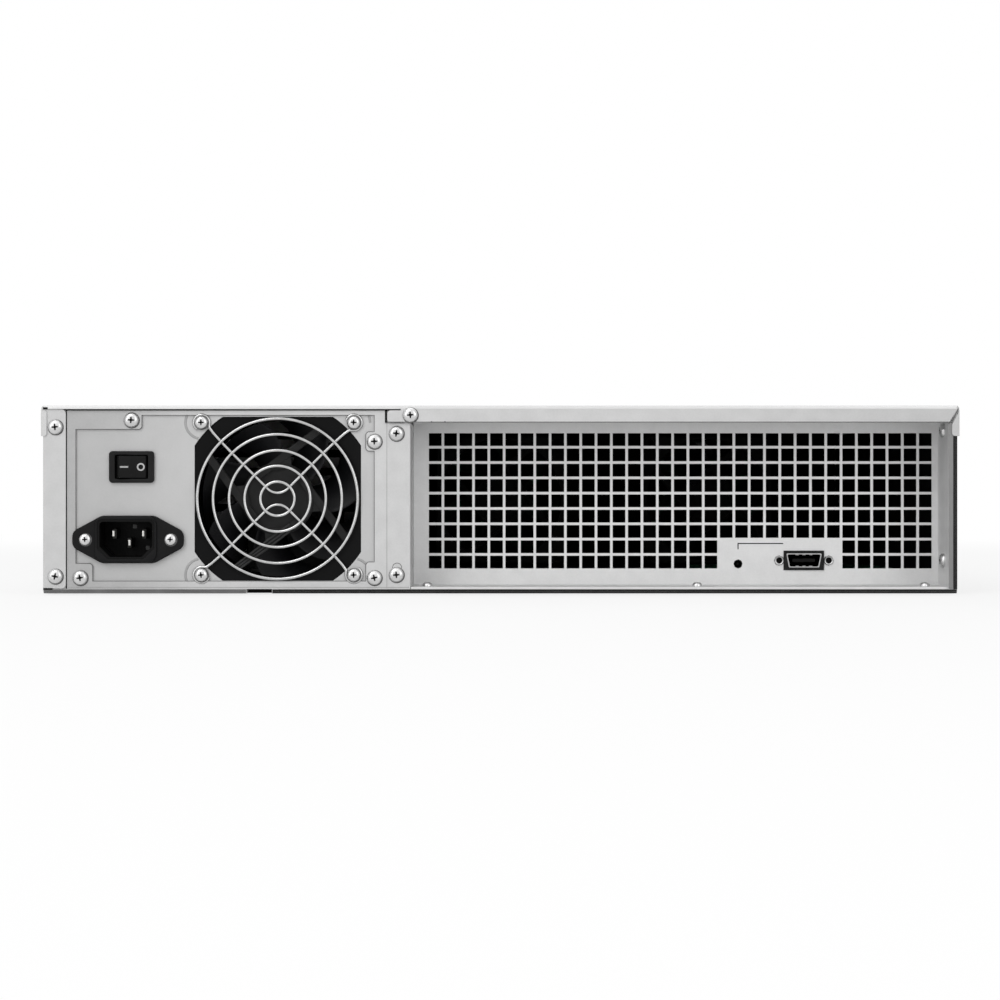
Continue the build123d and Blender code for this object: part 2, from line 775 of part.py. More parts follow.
def inlet_blades():
    """Two upper blades and a lower earth blade, standing on the cavity's floor."""
    base = rear_view(frame_front - inlet_back + cavity_floor) * Pos(supply_u + inlet_u, supply_z + inlet_z)
    blade = Rectangle(blade_w, blade_h)
    places = [(-blade_spacing / 2, blade_rise), (blade_spacing / 2, blade_rise), (0, -ground_drop)]
    return [extrude(base * Pos(u, z) * blade, blade_len) for u, z in places]


def switch_place():
    return Pos(supply_u + switch_u, supply_z + switch_z)


def switch_pivot():
    """Depth of the rocker's axis."""
    return frame_front + bezel_proud - rocker_crown


def switch_bezel():
    """Switch body with a rounded flange and the well for the rocker."""
    flange = plate(rear_view(frame_front) * switch_place(), RectangleRounded(bezel_w, bezel_h, bezel_corner),
                   bezel_proud)
    body = Rectangle(bezel_w - 2 * bezel_lap, bezel_h - 2 * bezel_lap)
    body = plate(rear_view(frame_front - switch_body_depth) * switch_place(), body, switch_body_depth)
    well = Rectangle(rocker_w + 2 * rocker_play, rocker_h + 2 * rocker_play)
    depth = rocker_crown + rocker_w / 2 + rocker_play
    well = plate(rear_view(frame_front + bezel_proud - depth) * switch_place(), well, depth)
    return flange + body - well


def switch_rocker():
    """Rocker with two pads meeting in a shallow valley, at rest with its off side pressed in."""
    half = rocker_w / 2
    rise = half * math.tan(math.radians(rocker_tilt))
    pads = outline((-half, -rocker_back), (half, -rocker_back), (half, rocker_crown + rise), (0, rocker_crown),
                   (-half, rocker_crown + rise))
    section = pads & Circle(half)
    centre = Vector(-(supply_u + switch_u), switch_pivot(), supply_z + switch_z - rocker_h / 2)
    plane = Plane(origin=centre, x_dir=(1, 0, 0), z_dir=(0, 0, 1))
    return extrude(plane * Rot(0, 0, rocker_tilt) * section, rocker_h)


# Cabled port

def shell_outline(grow):
    """The port's mouth, wider at its top than at its foot."""
    w = shell_w / 2 + grow
    h = shell_h / 2 + grow
    return outline((-w + shell_slant, -h), (w - shell_slant, -h), (w, -h + 2 * shell_slant), (w, h), (-w, h),
                   (-w, -h + 2 * shell_slant))


def port_plane(y):
    return rear_view(y) * Pos(port_u(), port_z)


def expansion_socket():
    """Port housing with side ears behind the panel."""
    face = rear - recess + port_proud
    body = plate(port_plane(face - port_depth), Rectangle(port_w, port_h), port_depth)
    ear_y = rear - recess - sheet - seam - ear_depth
    ears = plate(port_plane(ear_y), Rectangle(2 * post_offset + post_lobe, port_h - sheet), ear_depth)
    holes = [Pos(side * post_offset, 0) * RegularPolygon(post_r + seam / 2, screw_sides) for side in (-1, 1)]
    ears -= plate(port_plane(ear_y), Sketch() + holes, ear_depth)
    mouth = plate(port_plane(face - shell_depth), shell_outline(0), shell_depth)
    return body + ears - mouth


def expansion_tongue():
    """Contact tongue inside the port."""
    root = rear - recess + port_proud - shell_depth
    return plate(port_plane(root), Rectangle(tongue_w, tongue_t), tongue_len)


def jack_posts():
    """Two threaded posts that hold the port and take a plug's screws."""
    back = rear - recess - sheet - seam - ear_depth
    tip = rear - recess + port_proud
    posts = []
    for side in (-1, 1):
        place = Pos(side * post_offset, 0)
        post = plate(port_plane(back) * place, RegularPolygon(post_r, screw_sides), tip - back)
        bore = plate(port_plane(tip - post_bore_depth) * place, Circle(post_bore_r), post_bore_depth)
        posts.append(post - bore)
    return posts


def link_light():
    """Round light in the panel, standing a little proud with a domed end."""
    plane = rear_view(rear - recess - sheet - light_in) * Pos(port_u() - light_from_port, port_z - light_drop)
    return plate(plane, RegularPolygon(light_r, screw_sides), light_len)


def expander_board():
    """Board on four posts that carries the port, with its main chip under a heat sink."""
    top = port_z - port_h / 2
    left = port_u() - board_side
    back = rear - recess - sheet - board_gap
    x0, x1 = -left - board_w, -left
    board = plate(Plane.XY.offset(top - board_t), rect(x0, x1, back - board_l, back), board_t)
    places = [((x0 + x1) / 2 + a, back - board_l / 2 + b)
              for a, b in four(board_w / 2 - standoff_inset, board_l / 2 - standoff_inset)]
    posts = [plate(Plane.XY.offset(floor_top), Pos(x, y) * RegularPolygon(standoff_r, post_sides),
                   top - board_t - floor_top)
             for x, y in places]
    comb = heat_sink(sink_w, sink_base, chip_sink_h, chip_sink_fins, chip_sink_fin_t)
    sink = rear_view(back - chip_sink_back) * Pos(-(x0 + x1) / 2, top) * comb
    return [board] + posts + [extrude(sink, chip_sink_l)]


# Fan wall and backplane

def backplane_front():
    return front + cage_inset + cage_d


def backplane():
    """Board across the bays, with a vent slot for each bay."""
    half = wall_in - board_side_gap
    face = rect(-half, half, floor_top, cover_under - board_top_gap)
    vents = [Pos(x, z + vent_rise) * Rectangle(vent_w, vent_h) for x, z in bay_centres()]
    return plate(rear_view(backplane_front()), face - vents, backplane_t)


def backplane_sockets():
    """One slotted socket for each disk."""
    socket = Rectangle(socket_w, socket_h)
    slot = Rectangle(socket_w - 2 * socket_end, socket_slot)
    mouth = backplane_front() - socket_d + socket_slot_depth
    sockets = []
    for x, z in bay_centres():
        place = Pos(x, z - socket_drop)
        block = plate(front_view(backplane_front()) * place, socket, socket_d)
        sockets.append(block - plate(front_view(mouth) * place, slot, socket_slot_depth))
    return sockets


def fan_wall_front():
    return backplane_front() + backplane_t + fan_wall_gap


def fan_centres():
    """Places of the system fans across the fan wall, in x."""
    return [(i - (system_fans - 1) / 2) * fan_spacing for i in range(system_fans)]


def fan_height():
    return floor_top + sheet + fan_rise + fan_size / 2


def fan_wall():
    """Sheet across the tub with a round opening for each fan and a foot on the floor."""
    half = wall_in - board_side_gap
    face = rect(-half, half, floor_top, cover_under - board_top_gap)
    holes = [Pos(x, fan_height()) * RegularPolygon(fan_bore_r, bore_sides) for x in fan_centres()]
    y = fan_wall_front()
    wall = plate(rear_view(y), face - holes, sheet)
    foot = rect(-half, half, floor_top, floor_top + sheet)
    return wall + plate(rear_view(y - fan_wall_foot), foot, fan_wall_foot)


def system_fan_plane(x):
    return Plane(origin=(x, fan_wall_front() + sheet, fan_height()), x_dir=(-1, 0, 0), z_dir=(0, 1, 0))


# Drive bays

def bay_centres():
    """Centres of the bays in (x, z), row by row from the top left as seen from the front."""
    centres = []
    for row in range(rows):
        for column in range(columns):
            x = (column - (columns - 1) / 2) * bay_w
            z = bay_base + bay_h * (rows - row - 0.5)
            centres.append((x, z))
    return centres


def tray_under():
    """Underside of a tray, from the bay's centre."""
    return tray_floor_gap - bay_h / 2


def cage_walls():
    """Walls between the bays, each with a runner under every tray."""
    walls = []
    for i in range(columns + 1):
        x = (i - columns / 2) * bay_w
        section = rect(x - sheet / 2, x + sheet / 2, floor_top, cover_under - 2 * seam)
        left = x - sheet / 2 - (runner_w if i > 0 else 0)
        right = x + sheet / 2 + (runner_w if i < columns else 0)
        for row in range(rows):
            high = bay_base + bay_h * (row + 0.5) + tray_under() - runner_play
            section += rect(left, right, high - runner_t, high)
        walls.append(extrude(front_view(backplane_front()) * section, cage_d))
    return walls


def lever_pivot_y():
    return front - face_d + lever_barrel_r


def tray():
    """Disk tray about the bay's centre: a face frame with a post at its right, on an open-floored carrier."""
    under = tray_under()
    outer = disk_w / 2 + disk_play + tray_rail_t
    window = rect(face_rim - face_w / 2, face_w / 2 - face_post_w - face_rim, face_rim - face_h / 2,
                  face_h / 2 - face_rim)
    body = plate(front_view(front), Rectangle(face_w, face_h) - window, face_d)
    section = rect(-outer, outer, under, under + tray_rail_h)
    section -= rect(tray_rail_t - outer, outer - tray_rail_t, under + tray_sheet, under + tray_rail_h)
    carrier = extrude(front_view(front + tray_l) * section, tray_l)
    vent = Pos(0, front + tray_l / 2) * Rectangle(tray_window_w, tray_window_l)
    carrier -= plate(Plane.XY.offset(under), vent, tray_sheet)
    slot = lever_pin_r + pin_play
    hinge_slot = rect(lever_pivot_x - slot, lever_pivot_x + slot, front - face_d, lever_pivot_y() + slot)
    body -= plate(Plane.XY.offset(-face_h / 2), hinge_slot, face_h)
    return body + carrier


def lever():
    """Lever about the bay's centre, with its barrel, pin and cam, and two long slots for the air."""
    y = lever_pivot_y()
    face_y = front - face_d
    half = face_h / 2 - face_rim - lever_play
    tip = face_w / 2 - face_post_w - face_rim - lever_tip_gap
    barrel = Pos(lever_pivot_x, y) * RegularPolygon(lever_barrel_r, screw_sides)
    arm = rect(lever_pivot_x, tip, face_y, face_y + lever_t)
    cam = rect(lever_pivot_x - lever_cam_t / 2, lever_pivot_x + lever_cam_t / 2, y, y + lever_cam)
    body = plate(Plane.XY.offset(-half), barrel + arm + cam, 2 * half)
    slot = rect(lever_pivot_x + lever_slot_inset, tip - lever_slot_inset, -lever_slot_h / 2, lever_slot_h / 2)
    slots = [Pos(0, side * lever_slot_rise) * slot for side in (-1, 1)]
    body -= plate(front_view(face_y + lever_t), slots[0] + slots[1], lever_t)
    pin_half = face_h / 2 - pin_play
    pin = Pos(lever_pivot_x, y) * RegularPolygon(lever_pin_r, pin_sides)
    return body + plate(Plane.XY.offset(-pin_half), pin, 2 * pin_half)


# Rack ears

def rack_ear(side):
    """Ear with two rack slots, bent back along the tub's wall. side is -1 or 1 in x."""
    out = ear_span / 2
    face = rect(wall_out, out, 0, case_h)
    for dz in (-1, 1):
        slot = SlotOverall(rack_slot_l, rack_slot_h)
        face -= Pos(rack_hole_x / 2, case_h / 2 + dz * rack_hole_z / 2) * slot
    ear = plate(front_view(front + ear_t), face, ear_t)
    leg = rect(wall_out, wall_out + ear_t, ear_leg_low, ear_leg_high)
    ear += plate(rear_view(front), mirror(leg, Plane.YZ), ear_leg)
    return ear if side > 0 else mirror(ear, Plane.YZ)


def ear_handles():
    """A bent flat handle standing out from each ear."""
    section = bent([(front, handle_low), (front - handle_reach, handle_low), (front - handle_reach, handle_high),
                    (front, handle_high)], handle_t, handle_bend)
    right = extrude(side_view(wall_out + handle_inset - handle_w / 2) * section, handle_w)
    return [right, mirror(right, Plane.YZ)]


# Screws

def pan_heads(planes, radius, height):
    """One head on each plane, standing on it."""
    return [extrude(p * RegularPolygon(radius, screw_sides), height) for p in planes]


def case_screws():
    """Large pan heads: tub flange, supply, centre bar, cover lip, grille panel sides and ears."""
    planes = []
    flange_u = -wall_out + flange_w / 2 + flange_screw_shift
    for z in (flange_screw_low, flange_screw_high):
        planes.append(rear_view(rear) * Pos(flange_u, z))
    for u, z in supply_mounts():
        planes.append(rear_view(frame_back) * Pos(u, z))
    bar_u = supply_u + supply_w / 2 + supply_play + divider_flange / 2
    for z in (bar_screw_low, bar_screw_high):
        planes.append(rear_view(frame_back) * Pos(bar_u, z))
    lip_z = (lip_low + case_h) / 2 - lip_screw_drop
    planes.append(rear_view(cover_back) * Pos(frame_right() - slit_in + lip_screw_in, lip_z))
    wall_plane_x = -(grille_right() - sheet)
    for z in (wall_screw_low, wall_screw_high):
        planes.append(side_view(wall_plane_x) * Pos(rear - side_screw_inset, z))
    middle = (ear_leg_low + ear_leg_high) / 2
    for i in (-1, 0, 1):
        z = middle + i * ear_screw_rise
        planes.append(side_view(wall_out + ear_t) * Pos(front + ear_screw_y, z))
        left = Plane(origin=(-wall_out - ear_t, front + ear_screw_y, z), x_dir=(0, -1, 0), z_dir=(-1, 0, 0))
        planes.append(left)
    return pan_heads(planes, case_head_r, case_head_t)


def guard_screws():
    """The fan's four screws, on the guard's eyelets."""
    planes = [fan_center(frame_front + wire_d) * Pos(a, b) for a, b in four(fan_pitch / 2, fan_pitch / 2)]
    return pan_heads(planes, guard_head_r, guard_head_t)


def inlet_screws():
    planes = []
    for side in (-1, 1):
        place = Pos(supply_u + inlet_u + side * inlet_pitch / 2, supply_z + inlet_z)
        planes.append(rear_view(frame_front + inlet_flange_t) * place)
    return pan_heads(planes, inlet_head_r, inlet_head_t)


def floor_screws():
    """Small heads on the grille panel's foot."""
    left = grille_left() + floor_screw_left
    right = grille_right() - floor_screw_right
    planes = []
    for u in (left, (left + right) / 2 + floor_screw_shift, right):
        planes.append(Plane(origin=(-u, rear - floor_screw_inset, fold_top + sheet)))
    return pan_heads(planes, floor_head_r, floor_head_t)


os.makedirs("parts", exist_ok=True)
save("chassis_tub", chassis_tub())
save("top_cover", top_cover())
save("rear_frame_panel", rear_frame_panel())
save("supply_divider", supply_divider())
save("grille_panel", grille_panel())
save("supply_case", supply_case())
fan_shell = fan_frame()
blades_and_hub = fan_rotor()
save("supply_fan_frame", supply_fan_plane() * fan_shell)
save("supply_fan_rotor", supply_fan_plane() * blades_and_hub)
save("supply_internals", supply_internals())
save("fan_guard", fan_guard())
save("power_inlet", power_inlet())
save("inlet_blades", inlet_blades())
save("switch_bezel", switch_bezel())
save("switch_rocker", switch_rocker())
save("expansion_socket", expansion_socket())
save("expansion_tongue", expansion_tongue())
save("jack_posts", jack_posts())
save("link_light", link_light())
save("expander_board", expander_board())
save("backplane", backplane())
save("backplane_sockets", backplane_sockets())
save("fan_wall", fan_wall())
save("system_fan_frames", [system_fan_plane(x) * fan_shell for x in fan_centres()])
for number, x in enumerate(fan_centres(), 1):
    save(f"system_fan_rotor_{number}", system_fan_plane(x) * blades_and_hub)
save("cage_walls", cage_walls())
one_tray = tray()
one_lever = lever()
for number, (x, z) in enumerate(bay_centres(), 1):
    save(f"tray_{number:02d}", Pos(x, 0, z) * one_tray)
    save(f"lever_{number:02d}", Pos(x, 0, z) * one_lever)
save("ear_left", rack_ear(-1))
save("ear_right", rack_ear(1))
save("ear_handles", ear_handles())
save("case_screws", case_screws())
save("guard_screws", guard_screws())
save("inlet_screws", inlet_screws())
save("floor_screws", floor_screws())
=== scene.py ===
import json
import math

import bmesh
import bpy
from mathutils import Matrix, Vector


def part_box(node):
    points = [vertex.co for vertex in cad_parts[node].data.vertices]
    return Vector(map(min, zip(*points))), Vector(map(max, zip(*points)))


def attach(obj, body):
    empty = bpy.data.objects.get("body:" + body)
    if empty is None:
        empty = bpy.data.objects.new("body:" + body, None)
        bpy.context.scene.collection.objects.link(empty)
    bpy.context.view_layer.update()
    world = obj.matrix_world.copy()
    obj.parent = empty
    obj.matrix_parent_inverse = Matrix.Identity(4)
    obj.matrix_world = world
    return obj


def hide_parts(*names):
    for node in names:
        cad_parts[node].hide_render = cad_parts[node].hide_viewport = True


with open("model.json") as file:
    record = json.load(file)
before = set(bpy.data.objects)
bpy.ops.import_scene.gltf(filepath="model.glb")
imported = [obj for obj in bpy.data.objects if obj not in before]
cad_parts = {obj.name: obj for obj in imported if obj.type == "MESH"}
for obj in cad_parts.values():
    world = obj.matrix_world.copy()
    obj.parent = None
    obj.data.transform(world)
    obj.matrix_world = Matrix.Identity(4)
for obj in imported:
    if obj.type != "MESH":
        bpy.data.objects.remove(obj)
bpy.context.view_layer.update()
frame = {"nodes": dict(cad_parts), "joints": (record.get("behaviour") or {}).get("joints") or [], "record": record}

MM = 0.001
SMOOTH_ANGLE = math.radians(38)

# The camera stands behind the shelf, a little off the middle of its rear face
CAMERA_BACK = 1.25
CAMERA_X = 0.0001
CAMERA_Z = 0.0438
SENSOR = 36.0
PICTURE_WIDTH = 0.4689    # width of the view at the rear face

nodes = frame["nodes"]
tub_low, tub_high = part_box("chassis_tub")
REAR = tub_high.y
WALL = tub_high.x


# Placing

def rear_plane(point):
    """Local x runs right as seen from behind, y up and z out of the rear."""
    m = Matrix(((-1, 0, 0), (0, 0, 1), (0, 1, 0))).to_4x4()
    m.translation = point
    return m


def front_plane(point):
    """Local x runs right as seen from the front, y up and z out of the front."""
    m = Matrix(((1, 0, 0), (0, 0, -1), (0, 1, 0))).to_4x4()
    m.translation = point
    return m


def facing(point, direction):
    """Local z runs along direction, y as near to up as it can."""
    z = Vector(direction).normalized()
    up = Vector((0, 0, 1)) if abs(z.z) < 0.9 else Vector((0, 1, 0))
    x = up.cross(z).normalized()
    y = z.cross(x)
    m = Matrix((x, y, z)).transposed().to_4x4()
    m.translation = point
    return m


def centre(node):
    low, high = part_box(node)
    return (low + high) / 2


def islands(node):
    """The boxes of a node's separate solids, as (lowest, highest) corners."""
    bm = bmesh.new()
    bm.from_mesh(nodes[node].data)
    bmesh.ops.remove_doubles(bm, verts=bm.verts, dist=1e-6)
    seen = set()
    boxes = []
    for start in bm.verts:
        if start in seen:
            continue
        seen.add(start)
        group = [start]
        for v in group:
            for e in v.link_edges:
                other = e.other_vert(v)
                if other not in seen:
                    seen.add(other)
                    group.append(other)
        low = Vector([min(v.co[i] for v in group) for i in range(3)])
        high = Vector([max(v.co[i] for v in group) for i in range(3)])
        boxes.append((low, high))
    bm.free()
    return boxes


# Materials

def material(name):
    m = bpy.data.materials.new(name)
    m.use_nodes = True
    m.node_tree.nodes.clear()
    out = m.node_tree.nodes.new("ShaderNodeOutputMaterial")
    shader = m.node_tree.nodes.new("ShaderNodeBsdfPrincipled")
    m.node_tree.links.new(shader.outputs[0], out.inputs["Surface"])
    return m, m.node_tree, shader


def noise(tree, scale, detail=3.0, stretch=(1, 1, 1)):
    """Noise in the row's own coordinates; scale is waves per metre."""
    place = tree.nodes.new("ShaderNodeTexCoord")
    mapping = tree.nodes.new("ShaderNodeMapping")
    mapping.inputs["Scale"].default_value = stretch
    tree.links.new(place.outputs["Object"], mapping.inputs["Vector"])
    tex = tree.nodes.new("ShaderNodeTexNoise")
    tex.inputs["Scale"].default_value = scale
    tex.inputs["Detail"].default_value = detail
    tree.links.new(mapping.outputs["Vector"], tex.inputs["Vector"])
    return tex.outputs["Fac"]


def ramp(tree, value, low, high, spread=(0.35, 0.65)):
    """Maps a value between two colours or two grey levels."""
    node = tree.nodes.new("ShaderNodeValToRGB")
    node.color_ramp.elements[0].position = spread[0]
    node.color_ramp.elements[1].position = spread[1]
    node.color_ramp.elements[0].color = (*low, 1) if isinstance(low, tuple) else (low, low, low, 1)
    node.color_ramp.elements[1].color = (*high, 1) if isinstance(high, tuple) else (high, high, high, 1)
    tree.links.new(value, node.inputs["Fac"])
    return node.outputs["Color"]


def bump(tree, shader, value, height, strength=1.0, previous=None):
    node = tree.nodes.new("ShaderNodeBump")
    node.inputs["Strength"].default_value = strength
    node.inputs["Distance"].default_value = height
    tree.links.new(value, node.inputs["Height"])
    if previous is not None:
        tree.links.new(previous, node.inputs["Normal"])
    tree.links.new(node.outputs["Normal"], shader.inputs["Normal"])
    return node.outputs["Normal"]


def tone(base, change):
    return tuple(min(1.0, c * change) for c in base)


def across(tree, colour, span_x, level):
    """Darkens a colour towards span_x[0], where it is left at level of itself: painted shade that falls across the
    part.
    """
    place = tree.nodes.new("ShaderNodeTexCoord")
    split = tree.nodes.new("ShaderNodeSeparateXYZ")
    tree.links.new(place.outputs["Object"], split.inputs[0])
    fade = tree.nodes.new("ShaderNodeMapRange")
    fade.interpolation_type = "SMOOTHSTEP"
    fade.inputs["From Min"].default_value, fade.inputs["From Max"].default_value = span_x
    fade.inputs["To Min"].default_value = level
    tree.links.new(split.outputs["X"], fade.inputs["Value"])
    scale = tree.nodes.new("ShaderNodeVectorMath")
    scale.operation = "SCALE"
    tree.links.new(colour, scale.inputs[0])
    tree.links.new(fade.outputs["Result"], scale.inputs["Scale"])
    return scale.outputs["Vector"]


def sheet_metal(name, base, rough, mottle, metallic=0.55, fade=None):
    """Zinc-coated sheet: faint cloudy patches, fine grain and a soft sheen; fade darkens it across x as painted shade.
    """
    m, tree, shader = material(name)
    clouds = noise(tree, 130, 3.0)
    grain = noise(tree, 1100, 2.0)
    mix = tree.nodes.new("ShaderNodeMix")
    mix.data_type = "RGBA"
    mix.inputs["Factor"].default_value = 0.35
    tree.links.new(ramp(tree, clouds, tone(base, 1 - mottle), tone(base, 1 + mottle)), mix.inputs["A"])
    tree.links.new(ramp(tree, grain, tone(base, 1 - mottle), tone(base, 1 + mottle)), mix.inputs["B"])
    colour = mix.outputs["Result"]
    if fade:
        colour = across(tree, colour, *fade)
    tree.links.new(colour, shader.inputs["Base Color"])
    tree.links.new(ramp(tree, clouds, rough - 0.02, rough + 0.02), shader.inputs["Roughness"])
    shader.inputs["Metallic"].default_value = metallic
    bump(tree, shader, grain, 0.00002, 0.5)
    return m


def bright_metal(name, base, rough, metallic=1.0):
    """Plated metal with a slight variation in its polish."""
    m, tree, shader = material(name)
    clouds = noise(tree, 400, 2.0)
    tree.links.new(ramp(tree, clouds, tone(base, 0.94), tone(base, 1.05)), shader.inputs["Base Color"])
    tree.links.new(ramp(tree, clouds, rough - 0.05, rough + 0.05), shader.inputs["Roughness"])
    shader.inputs["Metallic"].default_value = metallic
    return m


def plastic(name, base, rough, texture=0.00002, scale=2500):
    """Moulded plastic with a fine spark-eroded texture."""
    m, tree, shader = material(name)
    fine = noise(tree, scale, 2.0)
    broad = noise(tree, 60, 3.0)
    tree.links.new(ramp(tree, broad, tone(base, 0.85), tone(base, 1.15)), shader.inputs["Base Color"])
    tree.links.new(ramp(tree, broad, rough - 0.05, rough + 0.05), shader.inputs["Roughness"])
    shader.inputs["Specular IOR Level"].default_value = 0.10
    bump(tree, shader, fine, texture, 0.4)
    return m


def powder_coat(name, base, rough):
    """Powder coat with orange peel and a broad, faint change of tone."""
    m, tree, shader = material(name)
    peel = noise(tree, 700, 2.0)
    broad = noise(tree, 35, 3.0)
    tree.links.new(ramp(tree, broad, tone(base, 0.88), tone(base, 1.12)), shader.inputs["Base Color"])
    tree.links.new(ramp(tree, broad, rough - 0.05, rough + 0.05), shader.inputs["Roughness"])
    bump(tree, shader, peel, 0.00006, 0.6)
    return m


zinc = sheet_metal("zinc_sheet", (0.53, 0.53, 0.53), 0.48, 0.05)
# Painted shade: the frame panel's colour falls to 70% towards its left end as seen from behind
frame_zinc_painted_shade = sheet_metal("frame_zinc_painted_shade", (0.56, 0.56, 0.56), 0.48, 0.05, fade=((0.205, 0.12), 0.70))
# Painted light: the recessed grille gets a brighter zinc than the other sheets
grille_zinc_painted_light = sheet_metal("grille_zinc_painted_light", (0.70, 0.70, 0.70), 0.5, 0.04, 0.35)
# Painted shade: the cover's colour falls to 86% towards its right end as seen from behind
cover_zinc_painted_shade = sheet_metal("cover_zinc_painted_shade", (0.55, 0.55, 0.55), 0.46, 0.05, fade=((-0.23, -0.05), 0.86))
# Painted highlight: a bright strip along the cover's rear bend
bend_highlight = sheet_metal("cover_bend_highlight", (0.72, 0.72, 0.72), 0.4, 0.02, 0.2)
# Painted shade: dark lines at the sheets' rims and edges, and the dark rings under the screw heads
edge_shade = sheet_metal("edge_painted_shade", (0.10, 0.10, 0.10), 0.6, 0.1, 0.1)
# Painted shade: grey lines on the frame panel's bends and the arcs round the guard's screws
line_shade = sheet_metal("bend_line_painted_shade", (0.36, 0.36, 0.36), 0.6, 0.05, 0.2)
# Painted shade: grey over the end of the tub's side flange
wall_shade = sheet_metal("flange_end_painted_shade", (0.22, 0.22, 0.22), 0.6, 0.05, 0.1)
# Painted shade: the supply's rear wall falls to 86% towards its left end as seen from behind
supply_zinc_painted_shade = sheet_metal("supply_zinc_painted_shade", (0.50, 0.50, 0.50), 0.50, 0.03, fade=((0.205, 0.13), 0.86))
# Painted reflection: the tub's hem ends are dark, and grey on the floor's left part
hem_dark_reflection = plastic("hem_painted_reflection", (0.021, 0.021, 0.021), 0.6)
hem_grey_reflection = plastic("hem_left_painted_reflection", (0.15, 0.15, 0.15), 0.6)
wire_metal = bright_metal("guard_plating", (0.50, 0.50, 0.50), 0.22)
screw_metal = bright_metal("screw_plating", (0.62, 0.62, 0.62), 0.28)
# Painted shade: the screws' cross recesses are dark
recess_shade = bright_metal("screw_recess_painted_shade", (0.05, 0.05, 0.05), 0.5)
contact_metal = bright_metal("contact_plating", (0.62, 0.61, 0.59), 0.3)
# Painted shade: the inlet's blades are near black down in its cavity
prong_shade = bright_metal("prong_painted_shade", (0.022, 0.022, 0.021), 0.5)
# Painted shade: the port's contacts are dimmed inside its shell
contact_shade = bright_metal("contact_row_painted_shade", (0.05, 0.046, 0.034), 0.4)
shell_metal = bright_metal("port_shell", (0.45, 0.45, 0.45), 0.35)
# Painted shade: the fan frames are darker than real black plastic
fan_black_painted_shade = plastic("fan_plastic", (0.0022, 0.0022, 0.0024), 0.38)
# Painted shade: the posts' threaded bores are dark
bore_shade = bright_metal("threaded_bore_painted_shade", (0.03, 0.03, 0.03), 0.5)
# Painted shadow: black for the gaps between sheets and for the sheet inside the right wall
painted_shadow_black = plastic("shadow_gap", (0.004, 0.004, 0.004), 0.7)
button_grey = plastic("release_button", (0.10, 0.10, 0.105), 0.45, 0.00002, 1500)
pipe_clear = plastic("light_pipe", (0.30, 0.32, 0.34), 0.2, 0.000002)
foam = plastic("filter_foam", (0.006, 0.006, 0.006), 0.9, 0.0004, 900)
lead_black = plastic("motor_leads", (0.038, 0.038, 0.038), 0.4)
# Painted shade: the fan wall is near black, as the chassis' inside is in shade
fan_wall_painted_shade = plastic("fan_wall_painted_shade", (0.003, 0.003, 0.003), 0.8)
motor_black = plastic("motor_cap", (0.021, 0.021, 0.021), 0.5)
blade_black = plastic("blade_plastic", (0.008, 0.008, 0.009), 0.35)
inlet_black = plastic("inlet_plastic", (0.008, 0.008, 0.0083), 0.42)
# Painted shade: the inlet's cavity and the switch's can are darker than their plastic
cavity_shade = plastic("cavity_painted_shade", (0.004, 0.004, 0.004), 0.5)
bezel_black = plastic("bezel_plastic", (0.013, 0.013, 0.013), 0.45)
rocker_black = plastic("rocker_plastic", (0.007, 0.007, 0.007), 0.4)
mark_paint = plastic("switch_marks", (0.45, 0.45, 0.45), 0.6)
port_black = plastic("port_plastic", (0.014, 0.014, 0.014), 0.45)
# Painted shade: the port's tongue is darker than the housing's plastic
tongue_shade = plastic("tongue_plastic", (0.004, 0.004, 0.004), 0.4)
# Painted shade: the link light's lens is near black, like the hole it sits in
lens = plastic("light_lens", (0.002, 0.002, 0.002), 0.3, 0.000002)
mark_grey = plastic("cavity_marks", (0.16, 0.16, 0.16), 0.5)
ink = plastic("panel_ink", (0.02, 0.02, 0.02), 0.7)
board_green = plastic("board_mask", (0.012, 0.055, 0.028), 0.35, 0.00001, 400)
parts_dark = plastic("supply_parts", (0.03, 0.03, 0.03), 0.5)
ear_coat = powder_coat("ear_coat", (0.028, 0.028, 0.030), 0.5)
handle_coat = powder_coat("handle_coat", (0.026, 0.026, 0.028), 0.42)
tray_coat = powder_coat("tray_coat", (0.030, 0.030, 0.032), 0.5)
lever_black = plastic("lever_plastic", (0.030, 0.030, 0.032), 0.48, 0.00003, 1500)

SLOT_MATERIALS = {
    "galvanised_sheet": zinc, "cover_sheet": cover_zinc_painted_shade, "supply_sheet": supply_zinc_painted_shade, "fan_plastic": fan_black_painted_shade,
    "supply_parts": parts_dark, "bright_wire": wire_metal, "inlet_plastic": inlet_black,
    "contact_metal": contact_metal, "switch_plastic": bezel_black, "rocker_plastic": rocker_black,
    "port_plastic": port_black, "tongue_plastic": tongue_shade, "light_lens": lens, "board": board_green,
    "ear_paint": ear_coat, "handle_metal": handle_coat, "screw_metal": screw_metal, "tray_paint": tray_coat,
    "lever_plastic": lever_black,
}

for part in frame["record"]["subparts"]:
    mesh = nodes[part["node"]].data
    mesh.materials.clear()
    mesh.materials.append(SLOT_MATERIALS[part["material_slot"]])
# painted shade: the fan wall is near black
nodes["fan_wall"].data.materials[0] = fan_wall_painted_shade
# the grille gets its painted light zinc
nodes["grille_panel"].data.materials[0] = grille_zinc_painted_light
# the frame panel gets its painted shade zinc
nodes["rear_frame_panel"].data.materials[0] = frame_zinc_painted_shade

# Building

